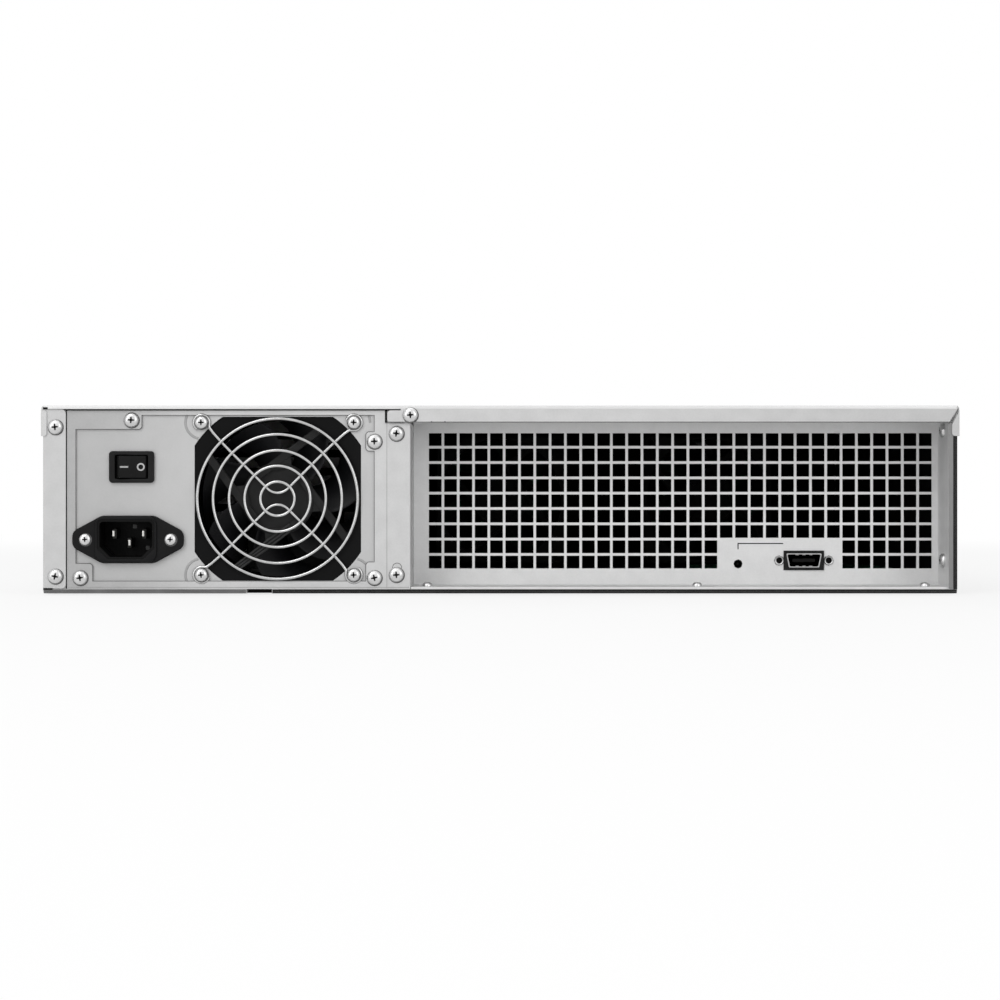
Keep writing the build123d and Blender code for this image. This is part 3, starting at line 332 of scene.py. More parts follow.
def finish_mesh(name, bm, mats, body, weld=True, angle=SMOOTH_ANGLE):
    """Turns a bmesh into a piece that rides on a body, smooth except at its sharp edges."""
    if weld:
        bmesh.ops.remove_doubles(bm, verts=bm.verts, dist=1e-7)
    bmesh.ops.recalc_face_normals(bm, faces=bm.faces)
    for face in bm.faces:
        face.smooth = True
    for edge in bm.edges:
        edge.smooth = len(edge.link_faces) == 2 and edge.calc_face_angle(0) < angle
    mesh = bpy.data.meshes.new(name)
    bm.to_mesh(mesh)
    bm.free()
    for m in mats:
        mesh.materials.append(m)
    piece = bpy.data.objects.new(name, mesh)
    bpy.context.scene.collection.objects.link(piece)
    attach(piece, body)
    return piece


def add_mesh(bm, mesh, matrix, index=0):
    """Copies a mesh into bm at matrix."""
    part = bmesh.new()
    part.from_mesh(mesh)
    part.transform(matrix)
    if matrix.determinant() < 0:
        bmesh.ops.reverse_faces(part, faces=part.faces)
    for face in part.faces:
        face.material_index = face.material_index if index is None else index
    copy = bpy.data.meshes.new("copy")
    part.to_mesh(copy)
    part.free()
    bm.from_mesh(copy)
    bpy.data.meshes.remove(copy)


def curve_mesh(lines, flat=True, thickness=0.0, round_r=0.0, steps=3, closed=True):
    """A mesh from closed outlines, cut out of each other and raised by thickness, or from round wires."""
    curve = bpy.data.curves.new("outline", "CURVE")
    curve.dimensions = "2D" if flat else "3D"
    curve.bevel_resolution = steps
    if flat:
        curve.fill_mode = "BOTH"
        curve.extrude = thickness / 2 - round_r
        curve.bevel_depth = round_r
        curve.offset = -round_r
    else:
        curve.bevel_depth = round_r
        curve.use_fill_caps = True
    for line in lines:
        spline = curve.splines.new("POLY")
        spline.points.add(len(line) - 1)
        for point, place in zip(spline.points, line):
            point.co = (place[0], place[1], place[2] if len(place) > 2 else 0.0, 1)
        spline.use_cyclic_u = closed
    holder = bpy.data.objects.new("outline", curve)
    bpy.context.scene.collection.objects.link(holder)
    bpy.context.view_layer.update()
    mesh = bpy.data.meshes.new_from_object(holder.evaluated_get(bpy.context.evaluated_depsgraph_get()))
    bpy.data.objects.remove(holder)
    bpy.data.curves.remove(curve)
    if flat:
        mesh.transform(Matrix.Translation((0, 0, thickness / 2)))
    return mesh


def circle(r, count=64, at=(0, 0), start=0.0):
    return [(at[0] + r * math.cos(start + 2 * math.pi * i / count),
             at[1] + r * math.sin(start + 2 * math.pi * i / count)) for i in range(count)]


def rounded(points, r, steps=6):
    """A closed outline with its corners rounded by arcs."""
    result = []
    count = len(points)
    for i in range(count):
        a, b, c = (Vector((*points[(i + k - 1) % count], 0)) for k in range(3))
        radius = r[i] if isinstance(r, (list, tuple)) else r
        u, v = (a - b).normalized(), (c - b).normalized()
        half = math.acos(max(-1, min(1, u.dot(v)))) / 2
        if radius <= 0 or half > math.pi / 2 - 0.01:
            result.append((b.x, b.y))
            continue
        reach = radius / math.tan(half)
        mid = b + (u + v).normalized() * (radius / math.sin(half))
        first, last = b + u * reach - mid, b + v * reach - mid
        sweep = math.pi - 2 * half
        turn = 1 if first.cross(last).z > 0 else -1
        for k in range(steps + 1):
            spin = Matrix.Rotation(turn * sweep * k / steps, 3, "Z")
            p = mid + spin @ first
            result.append((p.x, p.y))
    return result


def box_outline(w, h, at=(0, 0)):
    return [(at[0] - w / 2, at[1] - h / 2), (at[0] + w / 2, at[1] - h / 2), (at[0] + w / 2, at[1] + h / 2),
            (at[0] - w / 2, at[1] + h / 2)]


def lathe(profile, count=48):
    """A mesh turned about z from a profile of (radius, height)."""
    bm = bmesh.new()
    rings = []
    for r, h in profile:
        if r < 1e-9:
            rings.append([bm.verts.new((0, 0, h))])
        else:
            rings.append([bm.verts.new((x, y, h)) for x, y in circle(r, count)])
    for low, high in zip(rings, rings[1:]):
        for i in range(count):
            j = (i + 1) % count
            if len(low) == 1:
                bm.faces.new((low[0], high[i], high[j]))
            elif len(high) == 1:
                bm.faces.new((low[i], low[j], high[0]))
            else:
                bm.faces.new((low[i], low[j], high[j], high[i]))
    mesh = bpy.data.meshes.new("lathe")
    bm.to_mesh(mesh)
    bm.free()
    return mesh


def piece_from(name, parts, body, mats):
    """One piece from (mesh, matrix, material index) parts."""
    bm = bmesh.new()
    for mesh, matrix, index in parts:
        add_mesh(bm, mesh, matrix, index)
    return finish_mesh(name, bm, mats, body)


# Screws

SHADOW_RING_OUT = 0.28 * MM      # painted shadow: a dark ring under each head
SHADOW_RING_SLIP = 0.16 * MM
SHADOW_RING_T = 0.12 * MM


def pan_head(radius, height):
    """A pan head with a cross recess; material 1 is the recess."""
    edge = 0.28 * height
    profile = [(radius, 0.0), (radius, edge), (radius * 0.96, edge + 0.22 * height), (radius * 0.86, height * 0.74),
               (radius * 0.68, height * 0.92), (radius * 0.5, height)]
    count = 48
    bm = bmesh.new()
    rings = [[bm.verts.new((x, y, h)) for x, y in circle(r, count, start=math.pi / count)] for r, h in profile]
    for low, high in zip(rings, rings[1:]):
        for i in range(count):
            j = (i + 1) % count
            bm.faces.new((low[i], low[j], high[j], high[i]))
    arm, half = radius * 0.44, radius * 0.08
    cross = [(arm, -half), (arm, half), (half * 1.6, half * 1.6), (half, arm), (-half, arm), (-half * 1.6, half * 1.6),
             (-arm, half), (-arm, -half), (-half * 1.6, -half * 1.6), (-half, -arm), (half, -arm),
             (half * 1.6, -half * 1.6)]
    top = [bm.verts.new((x, y, height)) for x, y in cross]
    deep = [bm.verts.new((x * 0.72, y * 0.72, height * 0.3)) for x, y in cross]
    tip = bm.verts.new((0, 0, height * 0.1))
    loop = [bm.edges.new((top[i], top[(i + 1) % 12])) for i in range(12)]
    outer = [bm.edges.get((rings[-1][i], rings[-1][(i + 1) % count])) for i in range(count)]
    bmesh.ops.triangle_fill(bm, use_beauty=True, use_dissolve=False, edges=loop + outer)
    for face in list(bm.faces):
        if all(v in top for v in face.verts):
            bm.faces.remove(face)
    for i in range(12):
        j = (i + 1) % 12
        bm.faces.new((top[i], top[j], deep[j], deep[i])).material_index = 1
        bm.faces.new((deep[i], deep[j], tip)).material_index = 1
    mesh = bpy.data.meshes.new("pan_head")
    bm.to_mesh(mesh)
    bm.free()
    return mesh


def screw_side(low, high):
    """Middle of a head's seat, the way it faces and its size."""
    size = high - low
    axis = min(range(3), key=lambda i: size[i])
    middle = (low + high) / 2
    direction = Vector((0, 0, 0))
    direction[axis] = 1
    if axis == 0 and (middle.x > 0) != (abs(middle.x) > WALL):
        direction.x = -1
    radius = max(size) / 2
    return middle - direction * size[axis] / 2, direction, radius, size[axis]


def screw_piece(name, node, turns):
    """Replaces a node of plain heads by pan heads, each turned by its own angle, and lays a dark ring of painted
    shadow, set off centre, under each head that faces along y.
    """
    parts = []
    heads = {}
    shadow_slip = Matrix.Translation((SHADOW_RING_SLIP, -SHADOW_RING_SLIP, 0))
    for i, (low, high) in enumerate(sorted(islands(node), key=lambda b: (round(b[0].y, 4), round(b[0].x, 4), b[0].z))):
        seat, direction, radius, height = screw_side(low, high)
        key = (round(radius, 5), round(height, 5))
        if key not in heads:
            wide = radius + SHADOW_RING_OUT
            ring = lathe([(0, 0), (wide, 0), (wide, SHADOW_RING_T), (0, SHADOW_RING_T)], 40)
            heads[key] = (pan_head(radius, height), ring)
        turn = Matrix.Rotation(math.radians(turns[i % len(turns)]), 4, "Z")
        head, ring = heads[key]
        parts.append((head, facing(seat, direction) @ turn, None))
        # Painted shadow: a dark ring, set off centre, under each head that faces along y
        if direction.y:
            parts.append((ring, facing(seat, direction) @ shadow_slip, 2))
    piece = piece_from(name, parts, "chassis", [screw_metal, recess_shade, edge_shade])
    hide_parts(node)
    return piece


screw_piece("case_screw_heads", "case_screws", (4, -7, 12, 2, -3, 9, -12, 5))
screw_piece("guard_screw_heads", "guard_screws", (2, -4, 6, 1))
screw_piece("inlet_screw_heads", "inlet_screws", (-3, 5))
screw_piece("floor_screw_heads", "floor_screws", (8, 20, -15))


# Fan guard

guard_low, guard_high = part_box("fan_guard")
fan_low, fan_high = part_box("supply_fan_frame")
fan_axis = Vector(((fan_low.x + fan_high.x) / 2, 0, (fan_low.z + fan_high.z) / 2))
WIRE_R = (guard_high.y - guard_low.y) / 4
RING_RADII = (37.6, 30.2, 22.7, 15.4, 8.0)
SUPPORT_TIP = 2.8 * MM
SUPPORT_BEND = 6.8 * MM
EYELET_R = 3.65 * MM
SCREW_OFFSET = 35.75 * MM


def arc_points(mid, r, start, end, count):
    """Points on an arc, angles in degrees."""
    return [(mid[0] + r * math.cos(math.radians(start + (end - start) * i / count)),
             mid[1] + r * math.sin(math.radians(start + (end - start) * i / count))) for i in range(count + 1)]


def support_wire():
    """One V wire: an eyelet round each upper screw, arms at 45 degrees and a rounded bend near the middle."""
    reach, eye = SCREW_OFFSET, EYELET_R
    left = arc_points((-reach, reach), eye, 235, 0, 30) + [(eye - reach, reach - eye)]
    right = [(reach - eye, reach - eye)] + arc_points((reach, reach), eye, -90, 160, 26)
    return left + arc_points((0, SUPPORT_TIP + SUPPORT_BEND), SUPPORT_BEND, 225, 315, 14) + right


def smooth_line(points, passes=2):
    """Cuts an open line's corners round."""
    for _ in range(passes):
        new = [points[0]]
        for a, b in zip(points, points[1:]):
            new.append((a[0] * 0.75 + b[0] * 0.25, a[1] * 0.75 + b[1] * 0.25))
            new.append((a[0] * 0.25 + b[0] * 0.75, a[1] * 0.25 + b[1] * 0.75))
        new.append(points[-1])
        points = new
    return points


guard_parts = []
support_plane = rear_plane(Vector((fan_axis.x, guard_low.y + WIRE_R, fan_axis.z)))
ring_plane = rear_plane(Vector((fan_axis.x, guard_low.y + 3 * WIRE_R * 0.96, fan_axis.z)))
support_mesh = curve_mesh([smooth_line(support_wire())], flat=False, round_r=WIRE_R * 0.98, steps=4, closed=False)
for turn in (0, 180):
    guard_parts.append((support_mesh, support_plane @ Matrix.Rotation(math.radians(turn), 4, "Z"), 0))
for r in RING_RADII:
    ring = curve_mesh([circle(r * MM, 120 if r > 12 else 72)], flat=False, round_r=WIRE_R * 0.98, steps=4)
    guard_parts.append((ring, ring_plane, 0))
guard = piece_from("fan_guard_wires", guard_parts, "chassis", [wire_metal])
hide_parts("fan_guard")


# Fans

HUB_R = 16.0 * MM
MOTOR_R = 17.0 * MM
STRUT_OFFSET = 14.2 * MM
STRUT_TURN = 37.0
LEAD_R = 0.55 * MM
FAN_SEGMENTS = 96


def fan_plane(low, high):
    """Local z runs along the fan's air flow, from its front face to its rear."""
    return rear_plane(Vector(((low.x + high.x) / 2, low.y, (low.z + high.z) / 2)))


def fan_frame_parts(size, depth):
    """Two square flanges joined by a round duct, a motor cup on four slanted struts, and its leads."""
    half = size / 2
    bore = half - 2.0 * MM
    lip = 4.0 * MM
    hole = circle(bore, FAN_SEGMENTS)
    screw_holes = [circle(2.1 * MM, 20, (a * (half - 4.25 * MM), b * (half - 4.25 * MM))) for a in (-1, 1)
                   for b in (-1, 1)]
    square = rounded(box_outline(size, size), 4.5 * MM, 8)
    flange = curve_mesh([square, hole] + screw_holes, thickness=lip, round_r=0.4 * MM)
    duct = lathe([(bore, lip), (bore + 1.6 * MM, lip), (bore + 1.6 * MM, depth - lip), (bore, depth - lip),
                  (bore, lip)], FAN_SEGMENTS)
    cup = lathe([(0, depth - 2.2 * MM), (MOTOR_R - 1.6 * MM, depth - 2.2 * MM), (MOTOR_R - 1.5 * MM, depth - 0.6 * MM),
                 (MOTOR_R - 0.5 * MM, depth - 0.3 * MM), (MOTOR_R, depth - 0.9 * MM), (MOTOR_R, depth - 5 * MM),
                 (MOTOR_R - 1.2 * MM, depth - 5 * MM), (MOTOR_R - 1.2 * MM, depth - 3.0 * MM), (0, depth - 3.0 * MM)])
    identity = Matrix.Identity(4)
    parts = [(flange, identity, 0), (flange, Matrix.Translation((0, 0, depth - lip)), 0), (duct, identity, 0),
             (cup, identity, 1)]
    reach = math.sqrt((bore + 0.5 * MM) ** 2 - STRUT_OFFSET ** 2)
    strut_line = [(-STRUT_OFFSET - 1.9 * MM, -2.0 * MM), (-STRUT_OFFSET + 1.9 * MM, -2.0 * MM),
                  (-STRUT_OFFSET + 1.9 * MM, 8.0 * MM), (-STRUT_OFFSET + 1.9 * MM, reach),
                  (-STRUT_OFFSET - 1.9 * MM, reach)]
    gusset_line = [(-STRUT_OFFSET + 1.2 * MM, 4.0 * MM), (-8.0 * MM, 14.0 * MM), (-STRUT_OFFSET + 1.4 * MM, 17.0 * MM)]
    strut = curve_mesh([strut_line], thickness=3.0 * MM, round_r=0.5 * MM)
    gusset = curve_mesh([gusset_line], thickness=2.4 * MM, round_r=0.3 * MM)
    for quarter in range(4):
        turn = Matrix.Rotation(math.radians(STRUT_TURN + 90 * quarter), 4, "Z")
        parts.append((strut, turn @ Matrix.Translation((0, 0, depth - 3.4 * MM)), 1))
        parts.append((gusset, turn @ Matrix.Translation((0, 0, depth - 3.2 * MM)), 1))
    turn = Matrix.Rotation(math.radians(STRUT_TURN + 90), 4, "Z")
    for i in range(3):
        side = -STRUT_OFFSET + (i - 1) * 1.25 * MM
        lead = curve_mesh([[(side, 3 * MM, depth - 0.2 * MM), (side + (i - 1) * 0.3 * MM, 15 * MM, depth - 0.1 * MM),
                            (side, 26 * MM, depth - 0.3 * MM), (side, reach, depth - 0.4 * MM)]], flat=False,
                          round_r=LEAD_R, closed=False)
        parts.append((lead, turn, 2))
    return parts


def blade_mesh(tip, depth):
    """One cambered, twisted blade standing out of the hub along +x."""
    bm = bmesh.new()
    stations, steps = 12, 14
    root = HUB_R - 0.6 * MM
    height = depth - 10.0 * MM
    faces = []
    for side in (-1, 1):
        grid = []
        for i in range(stations + 1):
            f = i / stations
            r = root + (tip - root) * f
            pitch = math.radians(52 - 22 * f)
            row = []
            for j in range(steps + 1):
                s = j / steps - 0.5
                across = -s * height / math.tan(pitch) + 2.2 * MM * (1 - 4 * s * s)
                thick = 0.75 * MM * (1 - 0.75 * (2 * s) ** 2) * (1 - 0.35 * f)
                angle = (across + side * thick) / r + 0.35 * f * f
                z = depth / 2 - 0.8 * MM + s * height * (1 - 0.12 * f * f)
                row.append(bm.verts.new((r * math.cos(angle), r * math.sin(angle), z)))
            grid.append(row)
        faces.append(grid)
    for grid in faces:
        for i in range(stations):
            for j in range(steps):
                bm.faces.new((grid[i][j], grid[i + 1][j], grid[i + 1][j + 1], grid[i][j + 1]))
    low, high = faces
    border = [(i, 0) for i in range(stations)] + [(stations, j) for j in range(steps)]
    border += [(i, steps) for i in range(stations, 0, -1)] + [(0, j) for j in range(steps, 0, -1)]
    for a, b in zip(border, border[1:] + border[:1]):
        bm.faces.new((low[a[0]][a[1]], low[b[0]][b[1]], high[b[0]][b[1]], high[a[0]][a[1]]))
    mesh = bpy.data.meshes.new("blade")
    bm.to_mesh(mesh)
    bm.free()
    return mesh


def rotor_parts(size, depth):
    """Domed hub with seven blades."""
    tip = size / 2 - 3.2 * MM
    low, high = 3.0 * MM, depth - 5.4 * MM
    hub = lathe([(0, low), (HUB_R - 2.5 * MM, low), (HUB_R - 0.8 * MM, low + 0.6 * MM), (HUB_R, low + 2.2 * MM),
                 (HUB_R, high), (HUB_R - 1.5 * MM, high), (HUB_R - 1.5 * MM, low + 6 * MM), (0, low + 6 * MM)])
    shaft = lathe([(0, low + 5 * MM), (1.6 * MM, low + 5 * MM), (1.6 * MM, depth - 3.2 * MM), (0, depth - 3.2 * MM)], 20)
    blade = blade_mesh(tip, depth)
    parts = [(hub, Matrix.Identity(4), 0), (shaft, Matrix.Identity(4), 1)]
    for i in range(7):
        parts.append((blade, Matrix.Rotation(2 * math.pi * i / 7, 4, "Z"), 0))
    return parts


def placed(parts, plane):
    return [(mesh, plane @ matrix, index) for mesh, matrix, index in parts]


frame_mats = [fan_black_painted_shade, motor_black, lead_black]
fan_size = fan_high.x - fan_low.x
fan_depth = fan_high.y - fan_low.y
shell_parts = fan_frame_parts(fan_size, fan_depth)
blade_parts = rotor_parts(fan_size, fan_depth)
supply_plane = fan_plane(fan_low, fan_high)
shell = piece_from("supply_fan_shell", placed(shell_parts, supply_plane), "chassis", frame_mats)
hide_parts("supply_fan_frame")
rotor = piece_from("supply_fan_blades", placed(blade_parts, supply_plane), "supply_fan",
                   [blade_black, contact_metal])
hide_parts("supply_fan_rotor")
system_planes = [fan_plane(low, high) for low, high in sorted(islands("system_fan_frames"), key=lambda b: b[0].x)]
parts = [part for plane in system_planes for part in placed(shell_parts, plane)]
shells = piece_from("system_fan_shells", parts, "chassis", frame_mats)
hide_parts("system_fan_frames")
for number, plane in enumerate(system_planes, 1):
    blades = piece_from(f"system_fan_blades_{number}", placed(blade_parts, plane), f"system_fan_{number}",
                        [blade_black, contact_metal])
    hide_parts(f"system_fan_rotor_{number}")


# Mains inlet

inlet_low, inlet_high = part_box("power_inlet")
INLET_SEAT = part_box("fan_guard")[0].y
inlet_plane = rear_plane(Vector((centre("power_inlet").x, INLET_SEAT, centre("power_inlet").z)))
EAR_U = 20.0 * MM
EAR_R = 4.9 * MM
MIDDLE_W = 30.0 * MM
MIDDLE_H = inlet_high.z - inlet_low.z
FLANGE_T = 2.6 * MM
FACE_T = inlet_high.y - INLET_SEAT
CAVITY = (24.7 * MM, 16.5 * MM)
CAVITY_CUT = 5.0 * MM
BODY_LEFT = 0.9 * MM      # how far the body lies left of the middle of the ears
INLET_DEPTH = INLET_SEAT - inlet_low.y
RIVET_W = 1.9 * MM
RIVETS = ((0.9 * MM, 5.9 * MM), (7.0 * MM, -4.2 * MM))
GLINT_W = 0.9 * MM        # painted glint: a bright spot on each blade's tip
GLINT_H = 2.6 * MM


def inlet_flange_line():
    """Round ears joined to the tall middle by slanted sides."""
    half_w, half_h = MIDDLE_W / 2, MIDDLE_H / 2
    right = [(half_w * 0.82, -half_h), (EAR_U + EAR_R * 1.25, -EAR_R * 0.75), (EAR_U + EAR_R * 1.25, EAR_R * 0.75),
             (half_w * 0.82, half_h)]
    left = [(-x, -y) for x, y in right]
    return rounded(right + left, [6 * MM, 4.2 * MM, 4.2 * MM, 6 * MM] * 2, 8)


def cavity_line(grow=0.0):
    w, h = CAVITY[0] / 2 + grow, CAVITY[1] / 2 + grow
    left, right = -w - BODY_LEFT, w - BODY_LEFT
    cut = CAVITY_CUT
    line = [(left + cut, -h), (right - cut, -h), (right, -h + cut), (right, h), (left, h), (left, -h + cut)]
    return rounded(line, [0.8 * MM, 0.8 * MM, 0.8 * MM, 1.6 * MM, 1.6 * MM, 0.8 * MM], 4)


cavity = cavity_line()
lining = cavity_line(0.9 * MM)
screw_holes = [circle(1.7 * MM, 20, (side * 20.0 * MM, 0)) for side in (-1, 1)]
flange = curve_mesh([inlet_flange_line(), lining] + screw_holes, thickness=FLANGE_T, round_r=0.5 * MM, steps=4)
body_mid = (-BODY_LEFT, 0)
face = curve_mesh([rounded(box_outline(MIDDLE_W - 1.0 * MM, MIDDLE_H - 0.4 * MM, body_mid), 4.6 * MM, 8), lining],
                  thickness=FACE_T, round_r=0.6 * MM, steps=4)
sleeve = curve_mesh([rounded(box_outline(27 * MM, 20 * MM, body_mid), 1.5 * MM), cavity],
                    thickness=INLET_DEPTH + FACE_T - 0.5 * MM, round_r=0.2 * MM)
cavity_floor = curve_mesh([rounded(box_outline(27 * MM, 20 * MM, body_mid), 1.5 * MM)], thickness=1.6 * MM,
                          round_r=0.2 * MM)
back = Matrix.Translation((0, 0, -INLET_DEPTH))
parts = [(flange, inlet_plane, 0), (face, inlet_plane, 0), (sleeve, inlet_plane @ back, 1),
         (cavity_floor, inlet_plane @ back, 1)]
rivet = curve_mesh([rounded(box_outline(RIVET_W, RIVET_W), 0.3 * MM, 3)], thickness=0.3 * MM, round_r=0.1 * MM)
for x, y in RIVETS:
    parts.append((rivet, inlet_plane @ Matrix.Translation((x, y, 1.5 * MM - INLET_DEPTH)), 2))
inlet = piece_from("mains_inlet", parts, "chassis", [inlet_black, cavity_shade, mark_grey])
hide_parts("power_inlet")

blade_parts_3 = []
for low, high in islands("inlet_blades"):
    size = high - low
    line = rounded(box_outline(size.x, size.z), 0.3 * MM, 3)
    blade = curve_mesh([line], thickness=size.y, round_r=0.25 * MM)
    blade_plane = rear_plane(Vector(((low.x + high.x) / 2, low.y, (low.z + high.z) / 2)))
    blade_parts_3.append((blade, blade_plane, 0))
    # Painted glint on each blade's tip, off to one side on the outer blades
    side = (GLINT_W - size.x) / 2 if abs(blade_plane.translation.x - inlet_plane.translation.x) > size.x else 0
    spot = box_outline(GLINT_W, GLINT_H, (side, 0.1 * MM))
    glint = curve_mesh([rounded(spot, 0.2 * MM, 3)], thickness=0.1 * MM, round_r=0.03 * MM, steps=1)
    blade_parts_3.append((glint, blade_plane @ Matrix.Translation((0, 0, size.y - 0.06 * MM)), 1))
prongs = piece_from("inlet_prongs", blade_parts_3, "chassis", [prong_shade, contact_metal])
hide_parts("inlet_blades")


# Mains switch

bezel_low, bezel_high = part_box("switch_bezel")
rocker_low, rocker_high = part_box("switch_rocker")
rocker_joint = next(j for j in frame["joints"] if j["child"] == "power_switch")
pivot = Vector(rocker_joint["pos_m"])
BEZEL = (bezel_high.x - bezel_low.x, bezel_high.z - bezel_low.z)
ROCKER_H = rocker_high.z - rocker_low.z
ROCKER_W = 14.7 * MM
ROCKER_TILT = 9.0
ROCKER_CROWN = 3.0 * MM
ROCKER_BACK = 3.0 * MM
bezel_plane = rear_plane(Vector((centre("switch_bezel").x, INLET_SEAT, centre("switch_bezel").z)))
well = box_outline(ROCKER_W + 0.7 * MM, ROCKER_H + 0.7 * MM)
rim = curve_mesh([rounded(box_outline(*BEZEL), 1.6 * MM, 6), rounded(well, 0.5 * MM, 3)],
                 thickness=bezel_high.y - INLET_SEAT, round_r=0.55 * MM, steps=5)
can_depth = INLET_SEAT - bezel_low.y
can = curve_mesh([rounded(box_outline(BEZEL[0] - 2.1 * MM, BEZEL[1] - 2.1 * MM), 1.0 * MM, 3), well],
                 thickness=can_depth, round_r=0.2 * MM)
can_floor = curve_mesh([box_outline(BEZEL[0] - 2.4 * MM, BEZEL[1] - 2.4 * MM)], thickness=1.5 * MM, round_r=0.2 * MM)
back = Matrix.Translation((0, 0, -can_depth))
bezel = piece_from("switch_rim", [(rim, bezel_plane, 0), (can, bezel_plane @ back, 1),
                                  (can_floor, bezel_plane @ back, 1)], "chassis",
                   [bezel_black, cavity_shade])
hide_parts("switch_bezel")


def pad_surface(x):
    """Height of the rocker's face above its pivot, before it tilts: two pads that meet in a round valley."""
    slope = math.tan(math.radians(ROCKER_TILT))
    valley = 1.2 * MM
    return ROCKER_CROWN + slope * (math.sqrt(x * x + valley * valley) - valley)


def rocker_outline():
    half = ROCKER_W / 2
    top = []
    steps = 24
    for i in range(steps + 1):
        x = half - 2 * half * i / steps
        r2 = max(0.0, half * half * 1.02 - x * x)
        top.append((x, min(pad_surface(x), math.sqrt(r2) if abs(x) > half * 0.85 else 1.0)))
    return [(-half * 0.86, -ROCKER_BACK), (half * 0.86, -ROCKER_BACK)] + top


# The rocker's outline lies in (x, y), turned about its pivot; local z is up
rocker_line = rocker_outline()
tilt = Matrix.Rotation(math.radians(ROCKER_TILT), 4, "Z")
rocker_place = Matrix.Translation(Vector((pivot.x, pivot.y, centre("switch_rocker").z - ROCKER_H / 2))) @ tilt
rocker_mesh = curve_mesh([rocker_line], thickness=ROCKER_H, round_r=0.35 * MM, steps=4)
rocker = piece_from("switch_paddle", [(rocker_mesh, rocker_place, 0)], "power_switch",
                    [rocker_black])
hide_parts("switch_rocker")


def pad_mark(line, middle):
    """A thin raised mark on one pad; middle is its place along the rocker from the pivot."""
    mesh = curve_mesh(line, thickness=0.12 * MM, round_r=0.02 * MM, steps=1)
    slope = ROCKER_TILT if middle > 0 else -ROCKER_TILT
    stand = Matrix(((-1, 0, 0), (0, 0, 1), (0, 1, 0))).to_4x4()
    lean = Matrix.Rotation(math.radians(slope), 4, "Z")
    place = Matrix.Translation((middle, pad_surface(middle) + 0.01 * MM, ROCKER_H / 2)) @ lean @ stand
    return (mesh, rocker_place @ place, 0)


MARK_PLACE = 3.9 * MM
dash = [box_outline(3.9 * MM, 0.8 * MM)]
ring = [circle(1.85 * MM, 40), circle(1.15 * MM, 40)]
marks = piece_from("switch_marks", [pad_mark(dash, MARK_PLACE), pad_mark(ring, -MARK_PLACE)], "power_switch",
                   [mark_paint])


# Cabled port, its posts, light and leader line

port_low, port_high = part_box("expansion_socket")
PANEL_Y = port_high.y - 1.0 * MM
port_plane = rear_plane(Vector((centre("expansion_socket").x, port_high.y, centre("expansion_socket").z)))
PORT_W, PORT_H = 19.2 * MM, 9.1 * MM
SHELL_W, SHELL_H, SHELL_SLANT, SHELL_WALL = 17.2 * MM, 6.9 * MM, 1.25 * MM, 0.55 * MM


def shell_line(shrink):
    w, h, slant = SHELL_W / 2 - shrink, SHELL_H / 2 - shrink, SHELL_SLANT
    line = [(-w + slant, -h), (w - slant, -h), (w, h), (-w, h)]
    return rounded(line, 0.6 * MM, 4)


housing = curve_mesh([rounded(box_outline(PORT_W, PORT_H), 0.3 * MM, 3), shell_line(0)], thickness=3.0 * MM,
                     round_r=0.15 * MM)
housing_back = curve_mesh([rounded(box_outline(PORT_W, PORT_H), 0.3 * MM, 3), shell_line(0.2 * MM)],
                          thickness=port_high.y - port_low.y - 3.2 * MM, round_r=0.15 * MM)
end_wall = curve_mesh([box_outline(PORT_W - 0.4 * MM, PORT_H - 0.4 * MM)], thickness=1.0 * MM, round_r=0.1 * MM)
d_shell = curve_mesh([shell_line(0), shell_line(SHELL_WALL)], thickness=8.5 * MM, round_r=0.15 * MM)
tabs = curve_mesh([box_outline(1.5 * MM, 0.35 * MM)], thickness=5.0 * MM, round_r=0.1 * MM)
parts = [(housing, port_plane @ Matrix.Translation((0, 0, -3.0 * MM)), 0),
         (housing_back, port_plane @ Matrix.Translation((0, 0, port_low.y - port_high.y)), 0),
         (end_wall, port_plane @ Matrix.Translation((0, 0, -9.5 * MM)), 0),
         (d_shell, port_plane @ Matrix.Translation((0, 0, -8.3 * MM)), 1)]
for row in (-1, 1):
    for i in (-1, 0, 1):
        place = Matrix.Translation((i * 3.3 * MM, row * (SHELL_H / 2 - 0.72 * MM), -5.2 * MM))
        parts.append((tabs, port_plane @ place, 1))
ear_line = rounded(box_outline(port_high.x - port_low.x, PORT_H - 1.0 * MM), 1.0 * MM, 3)
post_mid = [(low + high) / 2 for low, high in islands("jack_posts")]
post_u = [-(p.x - port_plane.translation.x) for p in post_mid]
ear_plate = curve_mesh([ear_line, box_outline(PORT_W - 1 * MM, PORT_H - 1.4 * MM)]
                       + [circle(2.35 * MM, 24, (u, 0)) for u in post_u], thickness=6.0 * MM, round_r=0.2 * MM)
ear_back = PANEL_Y - port_high.y - 1.1 * MM - 6.0 * MM
parts.append((ear_plate, port_plane @ Matrix.Translation((0, 0, ear_back)), 0))
socket = piece_from("port_socket", parts, "chassis", [port_black, shell_metal])
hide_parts("expansion_socket")

